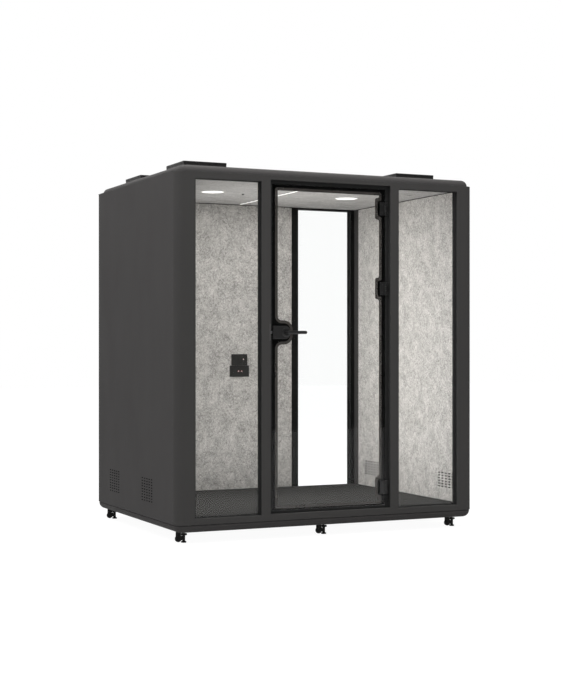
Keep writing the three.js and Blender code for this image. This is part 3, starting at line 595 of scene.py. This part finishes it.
def sealForm(g, s, pane, out):
    # a closed section of five points, carried round the pane's outline
    low = g["glass"][1] if out > 0 else g["glass"][0]
    section = [(0, low), (s["wide"], low), (s["wide"] - s["lip"], low + out * s["lip"]),
        (s["lip"], low + out * s["high"]), (0, low + out * s["high"])]
    return stack(pane, g["window"], 2.0, section, 3, True)


def beadForm(g, b, x, side):
    up, glassFace = g["window"], g["glass"][1]
    return board((x, x + b["wide"]), (up[0] + b["ends"], up[1] - b["ends"]),
        (glassFace + b["lift"], glassFace + seal["high"] + b["thick"]), 0.6, 0.6, side=side)


for side, sign in (("front", 1), ("rear", -1)):
    made = piece(f"{side}Frame", laid(frameForm(glazing), side), profilePaint,
        [f"{side}_frame"], bevel=glazing["bevel"])
    cabinTrim(made, deepBlack, jambCoatAndRevealShade, sign)
    forms = [laid(sealForm(glazing, seal, pane, out), side) for pane in panes for out in (-1, 1)]
    piece(f"{side}GlazingSeals", together(*forms), rubberSealAndShadeStrip)
    forms = [beadForm(glazing, bead, x, side) for low, high in panes for x in (low, high - bead["wide"])]
    piece(f"{side}GlazingBeads", together(*forms), jambCoatAndRevealShade)
print("frames and seals done")

# Felt lining: side panels with air holes low down, rear panel, ceiling and carpet
lining = dict(wall=933, thick=24, along=(-686.4, 636.4), up=(159.3, 2177.7), bevel=2.0)
vents = dict(columns=5, rows=6, pitch=43, rowPitch=18, length=27, height=8, level=292, centres=(-579, 432))
# painted shade: near-black boards inside the wall make the slots and holes look dark
ventShadeBoard = dict(skin=(1019.5, 1021.5), centres=(-252, 383), level=282, size=(230, 170),
    feltSize=(220, 120), feltDepth=(937.0, 938.0))


def ventHoles(v, centre):
    # an even grid of holes about the centre: column and row number times the two pitches
    c, r = np.meshgrid(*(np.arange(v[n]) - (v[n] - 1) / 2 for n in ("columns", "rows")))
    y, z = centre + c.ravel() * v["pitch"], v["level"] + r.ravel() * v["rowPitch"]
    return np.stack([*middled(y, v["length"]), *middled(z, v["height"])], -1).tolist()


def ventShadeForm(v, flip):
    # painted shade: thin near-black boards behind the slots of the wall and behind the holes of the felt, so
    # that the slots read dark
    forms = [slab(middled(flip * y, v["size"][0]), middled(v["level"], v["size"][1]), v["skin"], 4, 0.5)
        for y in v["centres"]]
    forms += [slab(middled(flip * y, v["feltSize"][0]), middled(vents["level"], v["feltSize"][1]),
        v["feltDepth"], 4, 0.3) for y in vents["centres"]]
    return together(*forms)


for (hand, sign), facing in zip(hands.items(), ("right", "left")):
    holes = [h for centre in vents["centres"] for h in ventHoles(vents, -sign * centre)]
    along = sorted(-sign * y for y in lining["along"])
    form = piercedPanel(along, lining["up"], (-lining["wall"] - lining["thick"], -lining["wall"]), holes)
    piece(f"{hand}WallFelt", laid(form, facing), greyFelt, [f"{hand}_wall_felt"],
        bevel=lining["bevel"])
    piece(f"{hand}VentShadeBoard", laid(ventShadeForm(ventShadeBoard, sign), hand), slotShadeBlack)

rearLining = dict(across=(-414.2, 414.2), out=(-718.7, -685.0), corner=2, edge=3.0)
piece("rearCentreFelt", board(rearLining["across"], lining["up"], rearLining["out"], rearLining["corner"],
    rearLining["edge"], 4, 4), greyFelt, ["rear_center_felt"])

ceiling = dict(across=(-934.7, 934.7), along=(-704.7, 704.7), bottom=2178, thick=25,
    strip=(-7.3, 7.3, -660.3, 662.8), slotX=740, slotWide=28, slotStep=43, slotRows=(-362, 426),
    slotPitch=17, slotHigh=8, bevel=1.0)


def ceilingForm(c):
    # a panel with the strip's slot and nine air slots under each box, drawn from below, so y turns round
    holes = [[c["strip"][0], c["strip"][1], -c["strip"][3], -c["strip"][2]]]
    side, row, i, j = (v.ravel() for v in np.meshgrid((-1, 1), c["slotRows"], (-1, 0, 1), (-1, 0, 1)))
    x, y = side * c["slotX"] + i * c["slotStep"], -(row + j * c["slotPitch"])
    holes += np.stack([*middled(x, c["slotWide"]), *middled(y, c["slotHigh"])], -1).tolist()
    along = (-c["along"][1], -c["along"][0])
    return laid(piercedPanel(c["across"], along, (-c["bottom"] - c["thick"], -c["bottom"]), holes), "down")


piece("ceilingFelt", ceilingForm(ceiling), ceilingFelt, ["ceiling_panel"],
    bevel=ceiling["bevel"])

# painted shadow: dark lists along the top of the linings
gap = dict(high=5.0, proud=0.8, sunk=1, wall=933, along=(-686, 636), rear=(-414, 414))


def paintedShadowStrips(g):
    # painted shadow: thin dark lists where the linings meet the ceiling
    band, fine = (ceiling["bottom"] - g["high"], ceiling["bottom"]), (0.3, 0.2, 2, 1)
    rearFace = rearLining["out"][1]
    forms = [board(sorted(sign * y for y in g["along"]), band,
        (-g["wall"] - g["sunk"], -g["wall"] + g["proud"]), *fine, side=hand)
        for hand, sign in hands.items()]
    return together(*forms, board(g["rear"], band, (rearFace - g["sunk"], rearFace + g["proud"]), *fine))


piece("ceilingPaintedShadow", paintedShadowStrips(gap), rubberSealAndShadeStrip)

carpet = dict(across=(-934.7, 934.7), along=(-704.7, 704.7), grid=(240, 180), bottom=134.3, top=159,
    edge=2.5, wave=0.25, lengths=(91, 137, 77, 113))


def carpetForm(c):
    # a fine grid whose height is a sum of slow sines, with the rim turned down by the edge radius
    columns, rows = np.linspace(*c["across"], c["grid"][0]), np.linspace(*c["along"], c["grid"][1])
    x, y = np.meshgrid(columns, rows)
    rim = np.minimum(np.minimum(x - c["across"][0], c["across"][1] - x),
        np.minimum(y - c["along"][0], c["along"][1] - y))
    drop = np.clip(1 - rim / (3 * c["edge"]), 0, 1) ** 2 * c["edge"]
    k, l, m, n = c["lengths"]
    wave = c["wave"] * (np.sin(x / k + 1.3 * np.sin(y / l)) + np.sin(y / m + np.sin(x / n)) - 2)
    return pierced(columns, rows, openCells(columns, rows, []), c["top"] - drop + wave, c["bottom"])


piece("carpetFloor", carpetForm(carpet), darkCarpet, ["floor_panel"])
print("lining done")

# Lamps: a rimmed opal disc, and a strip in a bright channel
lamp = dict(x=490, y=-20, rim=80, body=74, level=2177.7, drop=4)
strip = dict(half=6.2, channel=7.0, along=(-660, 662.5), up=(2176.6, 2190.5), edge=0.8, room=0.1)
sensor = dict(at=(-255, 27, 2178), radius=9)


def lampRim(l):
    # a rounded flange below the ceiling with a collar above it, turned about the lamp's middle
    z, r, b = l["level"], l["rim"], l["body"]
    profile = [(b - 1, z + 8), (b - 1, z - 2.2), (b + 0.8, z - l["drop"]), (r - 3.5, z - l["drop"] + 0.4),
        (r - 1, z - 1.6), (r, z - 0.2), (r, z), (b + 2, z), (b + 2, z + 8)]
    return turned(profile, 96)


def lampDisc(l):
    # a flat drum whose lower face swells a little towards the middle
    z, b = l["level"], l["body"] - 1.2
    return turned([(b, z + 6), (b, z - 1.2), (0.97 * b, z - 1.7), (0.7 * b, z - 2.3), (0, z - 2.6)], 96)


def sensorForm(s):
    # a stepped dome, as shares of the radius at each height
    profile = [(1, 0), (1, 2), (0.9, 4), (0.62, 5), (0.55, 6), (0.35, 7.4), (0, 8)]
    return laid(turned([(s["radius"] * r, h) for r, h in profile], 40), "down", s["at"])


for hand, sign in hands.items():
    at = (sign * lamp["x"], lamp["y"], 0)
    piece(f"{hand}LampRim", laid(lampRim(lamp), "up", at), rimPaint)
    piece(f"{hand}LampDisc", laid(lampDisc(lamp), "up", at), lampLens, [f"{hand}_downlight"])
piece("lightStrip", slab((-strip["half"], strip["half"]), strip["along"], strip["up"], 2, strip["edge"]),
    stripLens, ["light_strip"])
forms = [slab(sorted((s * (strip["half"] + strip["room"]), s * strip["channel"])), strip["along"],
    (strip["up"][0] + strip["edge"], strip["up"][1]), 0.3, 0.2, 2, 1) for s in (-1, 1)]
piece("stripChannel", together(*forms), rimPaint)
piece("ceilingSensor", sensorForm(sensor), blackPlastic)
print("lamps done")

# Wall plates on the rear felt
plates = dict(face=-684.7, thick=10, socket=(146, 80, 995.5), switch=(119, 80, 1075.8), corner=4, edge=2.0,
    key=(46, 60), keyCorner=3, keyEdge=1.2, keyOut=1.5, keyRoom=0.4, pocketFloor=3.0, dot=(30, 4, 3.2),
    ports=(-9, 15), portDot=3.0, portSize=(18, 14))
plateFront = plates["face"] + plates["thick"]


def plateForm(p, wide, high, level):
    return board(middled(0, wide), middled(level, high), (p["face"], plateFront), p["corner"], p["edge"], 5,
        4, 0.3)


def pocketPlate(p):
    # the plate's outline is carried up its edge, then in and down to the floor of the key's pocket
    wide, high, level = p["switch"]
    keyWide, keyHigh = (v + 2 * p["keyRoom"] for v in p["key"])
    inset, rise = quarter(p["edge"], 4)
    heights = np.concatenate([[p["face"]], plateFront - rise[::-1],
        [plateFront, p["face"] + p["pocketFloor"]]])
    edges = roundedOutline(middled(0, wide), middled(level, high), p["corner"], [0, *inset[::-1]])
    pocket = roundedOutline(middled(0, keyWide), middled(level, keyHigh), p["keyCorner"], [0, 0])
    return laid(carried(raised(np.concatenate([edges, pocket]), heights)), "front")


def keyForm(p):
    # the key's outline is carried up its sides, over a quarter round and on to a slightly raised face
    inset, rise = quarter(p["keyEdge"], 3)
    top = plateFront + p["keyOut"]
    levels = [(0, plateFront - 4)] + list(zip(inset[::-1], top - rise[::-1])) + [(6, top + 0.15)]
    across, up = middled(0, p["key"][0]), middled(p["switch"][2], p["key"][1])
    return laid(stack(across, up, p["keyCorner"], levels, 4), "front")


def lightDots(p):
    # one small dome each: the status light beside the key and a light in each port
    points, faces = turned([(1, -0.5), (1, 0.25), (0.85, 0.6), (0, 0.8)], 20)
    dots = [(p["dot"][0], p["switch"][2] + p["dot"][1], p["dot"][2])]
    dots += [(x, p["socket"][2], p["portDot"]) for x in p["ports"]]
    return together(*[laid((points * np.array([r, r, 1.0]), faces), "front", (x, -plateFront, z))
        for x, z, r in dots])


piece("socketPlate", plateForm(plates, *plates["socket"]), blackPlastic, ["socket_panel"])
piece("switchPlate", pocketPlate(plates), blackPlastic, ["switch_panel"])
piece("lightKey", keyForm(plates), blackPlastic, ["light_key"], "light_key")
piece("plateLights", lightDots(plates), statusLight)
forms = [board(middled(x, plates["portSize"][0]), middled(plates["socket"][2], plates["portSize"][1]),
    (plateFront - 1, plateFront + 0.5), 3, 0.4) for x in plates["ports"]]
piece("portWindows", together(*forms), redGloss)
print("wall plates done")

# Door: glass with ground edges, black print and a translucent band that follow the lock and the hinges
door = dict(half=391.5, up=(162, 2159), out=(728, 738), corner=4, edge=1.0, lockZ=1256, handleX=-303.5,
    hinges=(2038, 1535, 283), hingeX=393, hingeOut=744.3)
piece("doorGlass", board((-door["half"], door["half"]), door["up"], door["out"], door["corner"],
    door["edge"]), paneGlass, ["door_glass"], "door")
doorPrint = dict(side=22.0, top=19.0, foot=18.0, lockReach=123.0, lockHalf=56.0, lockCorner=40.0,
    hingeReach=50.0, hingeHalf=50.0, hingeCorner=14.0, hingeFlare=12, flare=44.0, corner=16.0, band=18.0,
    out=727.6, thick=0.3, rim=0.8, bandDrop=0.05)


def filleted(corners, steps=7):
    # each corner (x, z, radius) gives way to the arc that touches both of its sides
    p, radius = corners[:, :2], corners[:, 2]
    before, after = (v / np.linalg.norm(v, axis=1, keepdims=True)
        for v in (np.roll(p, 1, 0) - p, np.roll(p, -1, 0) - p))
    half = np.arccos(np.clip((before * after).sum(1), -1, 1)) / 2
    reach = (radius / np.tan(half))[:, None]
    halfway = (before + after) / np.linalg.norm(before + after, axis=1, keepdims=True)
    centre = p + halfway * (radius / np.sin(half))[:, None]
    first, last = (np.arctan2(*(p + v * reach - centre).T[::-1]) for v in (before, after))
    turn = (last - first + math.pi) % (2 * math.pi) - math.pi
    t = first[:, None] + turn[:, None] * np.linspace(0, 1, steps)[None, :]
    arc = radius[:, None, None] * np.stack([np.cos(t), np.sin(t)], -1)
    return (centre[:, None, :] + arc).reshape(-1, 2)


def notch(x, xIn, z, half, flare, corner, edge):
    # four corners that step from x to xIn and back; their points keep their height on the door's edge
    return [(x, z - half, flare, edge, np.nan), (xIn, z - half, corner, edge, np.nan),
        (xIn, z + half, corner, edge, np.nan), (x, z + half, flare, edge, np.nan)]


def printOutline(d, p, grow):
    # the clear opening steps round the lock and the hinges; each point also has a place on the door's edge
    left, right = -d["half"] + p["side"] + grow, d["half"] - p["side"] - grow
    low, high = d["up"][0] + p["foot"] + grow, d["up"][1] - p["top"] - grow
    x0, z0, z1 = d["half"] - p["rim"], d["up"][0] + p["rim"], d["up"][1] - p["rim"]
    inner, flare = max(p["corner"] - grow, 4), max(p["flare"] - grow, 5)
    path = [(left, low, inner, -x0, z0), (right, low, inner, x0, z0)]
    for z in sorted(d["hinges"]):
        path += notch(right, d["half"] - p["hingeReach"] - grow, z, p["hingeHalf"] + grow,
            min(flare, p["hingeFlare"]), p["hingeCorner"], x0)
    path += [(right, high, inner, x0, z1), (left, high, inner, -x0, z1)]
    path += notch(left, -d["half"] + p["lockReach"] + grow, d["lockZ"], -p["lockHalf"] - grow, flare,
        p["lockCorner"] + grow, -x0)
    path = np.array(path)
    outline = filleted(path[:, :3])
    edge = np.repeat(path[:, 3:], len(outline) // len(path), 0)
    edge[:, 1] = np.where(np.isnan(edge[:, 1]), outline[:, 1], edge[:, 1])
    return outline, edge


def flatRing(inner, outer, low, high):
    # inner and outer outline, each at two heights, joined round the section
    rings = raised(np.stack([outer, outer, inner, inner]), np.array([low, high, high, low]))
    return laid(carried(rings, True), "front")


clearOpening, doorEdge = printOutline(door, doorPrint, 0.0)
bandOpening, _ = printOutline(door, doorPrint, doorPrint["band"])
printLow, printHigh = doorPrint["out"], doorPrint["out"] + doorPrint["thick"]
piece("doorPrint", flatRing(clearOpening, doorEdge, printLow, printHigh), printBlack,
    body="door")
piece("doorBand", flatRing(bandOpening, clearOpening, printLow, printHigh - doorPrint["bandDrop"]),
    edgeBand, body="door")
sweep = dict(half=390.5, up=(161.6, 171.0), out=(726.9, 739.0))  # rubber seal along the foot of the door
piece("doorSweep", board((-sweep["half"], sweep["half"]), sweep["up"], sweep["out"], 1.0, 0.8), rubberSealAndShadeStrip,
    body="door")
print("door glass and print done")

# Lock: covers on both faces, a round rose, and levers bent out of their necks
lock = dict(x0=-391.5, length=113, high=80, corner=28, square=1.2, front=10, back=8, backStart=12, edge=2.2,
    rose=28, seat=0.3, core=(0.6, 100), coreIn=12, screw=(3.4, 1.2), screwX=-378, screwUp=28)


def lockForm(k, d):
    # two slabs rounded at their free ends, a turned rose, a core through the glass and two screws
    level, x0, x1 = d["lockZ"], k["x0"], k["x0"] + k["length"]
    up, face, rear = middled(level, k["high"]), d["out"][1] + k["seat"], -d["out"][0] + k["seat"]
    radii = np.array([k["square"], k["corner"], k["corner"], k["square"]])
    more = (k["edge"], 10, 5, k["seat"])
    r, top = k["rose"], -face - k["front"]
    front = board((x0, x1), up, (face, face + k["front"]), radii, *more)
    mirrored = radii[[1, 0, 3, 2]]
    back = board((-x1, -x0 - k["backStart"]), up, (rear, rear + k["back"]), mirrored, *more, side="rear")
    profile = [(r, -0.5), (r, 2.6), (r - 0.8, 4.2), (r - 3, 5.4), (r - 6, 5.9), (13, 6), (11, 5.4), (0, 5.4)]
    rose = laid(turned(profile, 72), "front", (d["handleX"], top, level))
    core = board((x0 + k["core"][0], x0 + k["core"][1]), (up[0] + k["coreIn"], up[1] - k["coreIn"]),
        (d["out"][0] - 0.6, face + 1), 3, 0.4)
    screws = [laid(screwHead(*k["screw"]), "front", (k["screwX"], top + 0.2, level + s * k["screwUp"]))
        for s in (1, -1)]
    return together(front, back, rose, core, *screws)


piece("lockCase", lockForm(lock, door), satinBlack, ["lock_case"], "door")
lever = dict(length=125, grip=(10, 6), neck=9, bend=15, tip=10, outer=(754.6, 783), inner=(719.7, 683))


def leverForm(v, start, grip):
    # neck straight out, a quarter bend, then the grip; the section goes from round to flat along the way
    # and closes at the tip as the root of one minus the square of the way into it
    sign = 1 if grip > start else -1
    t, end = np.linspace(0, math.pi / 2, 9), v["length"] - v["tip"]
    neck = np.stack([np.zeros(4), np.linspace(start, grip - sign * v["bend"], 4)], 1)[:-1]
    bend = np.stack([v["bend"] * (1 - np.cos(t)), grip - sign * v["bend"] * (1 - np.sin(t))], 1)
    run = np.linspace(v["bend"], end, 8)[1:]
    tip = end + v["tip"] * np.sin(np.linspace(0, math.pi / 2, 7))[1:]
    flat = np.stack([np.concatenate([run, tip]), np.full(len(run) + len(tip), float(grip))], 1)
    x, out = np.concatenate([neck, bend, flat]).T
    share = np.clip(np.linspace(-0.2, 1.6, len(x)), 0, 1)
    close = np.sqrt(np.clip(1 - (np.clip(x - end, 0, v["tip"]) / (v["tip"] + 0.02)) ** 2, 0.0, 1))
    across = (v["neck"] + (v["grip"][0] - v["neck"]) * share) * close
    thick = (v["neck"] + (v["grip"][1] - v["neck"]) * share) * (0.35 + 0.65 * close)
    path, up = np.stack([x, -out, np.zeros(len(x))], 1), np.array([0.0, 0, 1])
    return swept(path, up, across, thick, 32, 3.2)


for place in ("outer", "inner"):
    piece(f"{place}Lever", laid(leverForm(lever, *lever[place]), "up", (door["handleX"], 0, door["lockZ"])),
        satinBlack, [f"{place}_lever"], "lever")
strike = dict(x=(-421.5, -415.2), high=100, out=(764.6, 765.8))
piece("strikePlate", board(strike["x"], middled(door["lockZ"], strike["high"]), strike["out"], 1.5, 0.4),
    strikeSteel)

# Hinges: flat leaves, three knuckles on a pin, two screws a leaf
hinge = dict(height=82, leaf=40, thick=4, knuckle=6, clear=6.6, frameEnd=21.2, screw=(4.2, 1.4), play=0.3,
    pin=2.2)


def knuckleForm(h, low, high):
    # a turned barrel with both rims broken
    r, rim = h["knuckle"], 0.7
    return turned([(0.45 * r, low), (r - rim, low), (r, low + rim), (r, high - rim), (r - rim, high),
        (0.45 * r, high)], 28)


def hingeForm(h, frameSide):
    # a leaf, knuckles in thirds of the height with a web each, two screws, and on the frame's side the pin
    half, third = h["height"] / 2, h["height"] / 3
    out = (-h["knuckle"], -h["knuckle"] + h["thick"])
    across = (h["clear"], h["frameEnd"]) if frameSide else (-h["leaf"], -h["clear"])
    web = (1, h["clear"] + 1) if frameSide else (-h["clear"] - 1, -1)
    spans = [(-half, -half + third), (half - third, half)] if frameSide else [(-third / 2, third / 2)]
    forms = [board(across, (-half, half), out, 2.5, 0.8)]
    for low, high in spans:
        low, high = low + h["play"], high - h["play"]
        forms += [knuckleForm(h, low, high), board(web, (low, high), out, 0.6, 0.4)]
    middle = sum(across) / 2 - (0 if frameSide else 2)
    forms += [laid(screwHead(*h["screw"]), "front",
        (middle, h["knuckle"] - h["thick"] + 0.2, s * half * 0.6)) for s in (-1, 1)]
    if frameSide:
        pin, top = h["pin"], half + 0.3
        forms.append(turned([(pin, -half + 1), (pin, half - 0.2), (pin - 0.8, top), (0, top)], 20))
    return together(*forms)


for hingeName, z in zip(("upper", "middle", "lower"), door["hinges"]):
    for side, body in (("frame", "shell"), ("door", "door")):
        form = laid(hingeForm(hinge, side == "frame"), "up", (door["hingeX"], -door["hingeOut"], z))
        piece(f"{hingeName}{side.title()}Hinge", form, satinBlack,
            [f"{hingeName}_{side}_hinge"], body)
print("lock, levers and hinges done")

# Levelling casters
caster = dict(x=(-935, 0, 935), y=(-653, 653), wheel=20, wide=18, trail=35, axleZ=24, cheek=3, gap=1,
    cheekWide=24, hood=(61.7, 65.7), hoodRadius=22, pad=16, sleeve=9, stem=5, dial=20, dialZ=(44, 54),
    web=(15, 40.5), neckTop=70, stemTop=80, dialNotches=16, notch=0.6, grooves=27)


def forkForm(c):
    # a turned hood plate and neck, an arm, two cheeks rounded at the axle, their webs, the axle and its nuts
    half, r, trail = c["wide"] / 2 + c["gap"] + c["cheek"], c["cheekWide"] / 2, c["trail"]
    low, top = c["hood"]
    rim, bore = c["hoodRadius"], c["stem"] + 0.4
    plate = turned([(bore, low), (rim - 0.8, low), (rim, low + 0.8), (rim, top - 0.5), (rim - 0.5, top),
        (bore, top)])
    arm = slab((-trail - r, -4), (-half, half), (low + 0.05, top - 0.05), 3, 0.8)
    axle = laid(turned([(3, -half + 1), (3, half - 1)], 20), "front", (-trail, 0, c["axleZ"]))
    neck = turned([(bore, top - 1), (11, top - 1), (11, c["neckTop"]), (bore, c["neckTop"])], 32)
    nut = turned([(5, 0), (5, 1.6), (4.2, 2.2), (0, 2.2)], 6)
    nuts = [laid(nut, side, (-trail, y, c["axleZ"]))
        for side, y in (("rear", half - 0.2), ("front", 0.2 - half))]
    cheek, web = (half, half - c["cheek"]), (half - 0.1, half - c["cheek"] + 0.1)
    cheekCorners = [r - 0.1, r - 0.1, 2, 2]
    cheeks = [board((-trail - r, -trail + r), (c["axleZ"] - r, top - 1), sorted(s * y for y in cheek),
        cheekCorners, 0.7, 8) for s in (-1, 1)]
    webs = [board((-trail + 6, -c["sleeve"] + 3), c["web"], sorted(s * y for y in web), 2, 0.6)
        for s in (-1, 1)]
    return together(plate, arm, *cheeks, *nuts, axle, neck, *webs)


def wheelForm(c):
    # half a tyre and hub profile, mirrored and closed round the bore, then turned
    h, r = -c["wide"] / 2, c["wheel"]
    profile = [(3.6, h), (6.5, h), (7, h + 1.2), (r - 6.5, h + 1.6), (r - 5.5, h + 0.2), (r - 2.6, h),
        (r - 0.8, h + 1.2), (r - 0.05, h + 3.2), (r, h + 5)]
    profile += [(a, -b) for a, b in profile[::-1]]
    return laid(turned(profile, 56, closed=True), "front", (-c["trail"], 0, c["axleZ"]))


def footForm(c):
    # pad, thick sleeve with fine grooves, hand dial notched by a cosine, and the stem above it
    pad, tube, dial, stem = c["pad"], c["sleeve"], c["dial"], c["stem"]
    d0, d1 = c["dialZ"]
    profile = [(pad - 0.8, 0, 0), (pad, 0.8, 0), (pad, 6.6, 0), (pad - 1, 8, 0), (tube + 1.5, 8.6, 0),
        (tube, 10, 0)]
    profile += [(tube - 0.4 * (i % 2), z, 0) for i, z in enumerate(np.linspace(13, d0 - 4, c["grooves"]))]
    profile += [(tube, d0, 0), (dial - 1.5, d0, 0.4), (dial - 0.6, d0 + 1.2, 1), (dial - 0.6, d1 - 1.2, 1),
        (dial - 1.5, d1, 0.4), (9, d1, 0), (8, d1 + 1.5, 0), (stem, d1 + 1.5, 0),
        (stem, c["stemTop"] - 1, 0), (stem - 0.8, c["stemTop"], 0)]
    return turned(profile, 96, c["notch"], c["dialNotches"])


for rowName, y in zip(("front", "rear"), caster["y"]):
    for columnName, x in zip(("left", "middle", "right"), caster["x"]):
        label, key, at = f"{rowName}{columnName.title()}", f"{rowName}_{columnName}", (x, y, 0)
        piece(f"{label}CasterFork", laid(forkForm(caster), "up", at), deepBlack,
            [f"{key}_caster_fork"], f"{key}_swivel")
        piece(f"{label}CasterWheel", laid(wheelForm(caster), "up", at), nylonBlack,
            [f"{key}_caster_wheel"], f"{key}_wheel")
        piece(f"{label}LevellingFoot", laid(footForm(caster), "up", at), deepBlack,
            [f"{key}_levelling_foot"], f"{key}_foot", sharp=30)
print("casters done")

# Stage: pale floor, a white surround that is dark where the glass would mirror it, and soft lights
stage = dict(floor=30.0, front=-10.8, floorColour=0.5, shadowShare=0.25, white=1.27, darkFront=0.985,
    skyLight=0.61)


def floorFinish(s):
    made, tree, surface, output = newFinish("paleFloor")
    tree.nodes.remove(surface)
    matt = add(tree, "BsdfDiffuse", Color=s["floorColour"])
    white = add(tree, "Emission", Color=1.0, Strength=s["white"])
    mixed(tree, math2(tree, "MULTIPLY", seenRay(tree), 1 - s["shadowShare"]), matt, white, output)
    return made


def floorSheet(s):
    mesh, reach = bpy.data.meshes.new("floorSheet"), s["floor"]
    corners = [(-reach, s["front"], 0), (reach, s["front"], 0), (reach, reach, 0), (-reach, reach, 0)]
    mesh.from_pydata(corners, [], [(0, 1, 2, 3)])
    mesh.materials.append(floorFinish(s))
    made = bpy.data.objects.new("floorSheet", mesh)
    bpy.context.scene.collection.objects.link(made)


def surround(s):
    world = bpy.context.scene.world = bpy.data.worlds.new("studio")
    world.use_nodes = True
    sky = world.node_tree
    sky.nodes.clear()
    aim = add(sky, "SeparateXYZ", Vector=add(sky, "TexCoord").outputs["Generated"])
    # what lies before the glass is unlit, for rays that were mirrored
    frontSide = spread(sky, aim.outputs["Y"], -0.1, -0.3, 0.0, s["darkFront"])
    mirrored = math2(sky, "MINIMUM", add(sky, "LightPath").outputs["Glossy Depth"], 1.0)
    level = math2(sky, "SUBTRACT", 1.0, product(sky, frontSide, mirrored))
    soft = add(sky, "Background", Color=1.0, Strength=s["skyLight"])
    bright = add(sky, "Background", Color=1.0, Strength=level)
    mixed(sky, seenRay(sky), soft, bright, add(sky, "OutputWorld"))


def softLight(name, at, towards, size, power, beam=180.0, colour=(1, 1, 1)):
    data = bpy.data.lights.new(name, "AREA")
    data.shape, data.size, data.size_y = "RECTANGLE", size[0], size[1]
    data.energy, data.color, data.spread = power, colour, math.radians(beam)
    made = bpy.data.objects.new(name, data)
    bpy.context.scene.collection.objects.link(made)
    made.location = at
    direction = np.array(towards, float) - np.array(at, float)
    yaw = math.atan2(-direction[0], direction[1])
    made.rotation_euler = (math.acos(-direction[2] / np.linalg.norm(direction)), 0, yaw)
    made.visible_glossy = False
    return made


studioLights = (  # name, place, aim, size, power
    ("keyLight", (-1.2, -7.0, 4.2), (0, 0, 1.1), (4, 3), 28),
    ("fillLight", (5.0, -4.5, 4.0), (0, 0, 1.1), (4, 4), 20),
    ("sideLight", (-4.6, -0.4, 6.0), (-1, 0, 1.9), (4, 3), 125),
    ("topLight", (-0.9, -0.9, 6.0), (-0.2, -0.2, 2.2), (5, 4), 360),
)
cabinLights = (  # the same and the beam: the lamps' light, spread so that the felt is lit evenly
    ("ceilingGlow", (0, 0, 2.165), (0, 0.001, 0), (1.1, 0.9), 5, 180),
    ("floorBounce", (0, 0, 0.2), (0, 0.001, 2), (1.2, 0.9), 2.2, 180),
    ("frontGlow", (0, -0.62, 1.2), (0, 1, 1.2), (1.2, 1.8), 2.0, 180),
    ("leftGlow", (-0.9, -0.06, 1.08), (1, -0.13, 1.06), (1.0, 1.9), 10.5, 90),
    ("rightGlow", (0.9, -0.12, 1.08), (-1, -0.22, 1.06), (0.95, 1.9), 8, 90),
)
cabinColour = (1, 0.985, 0.96)
floorSheet(stage)
surround(stage)
for row in studioLights:
    softLight(*row)
for row in cabinLights:
    glow = softLight(*row, cabinColour)
    glow.visible_camera = glow.visible_transmission = False

view = dict(at=(-3.982, -8.557, 1.168), turn=-25.0, lens=73.2, sensor=36.0, shift=-0.0024)
cameraData = bpy.data.cameras.new("photoView")
cameraData.lens, cameraData.sensor_width, cameraData.shift_y = view["lens"], view["sensor"], view["shift"]
camera = bpy.data.objects.new("photoView", cameraData)
bpy.context.scene.collection.objects.link(camera)
camera.location = view["at"]
camera.rotation_euler = (math.radians(90), 0, math.radians(view["turn"]))
bpy.context.scene.camera = camera
bpy.context.scene.view_settings.view_transform = "Standard"
print("stage and camera ready")
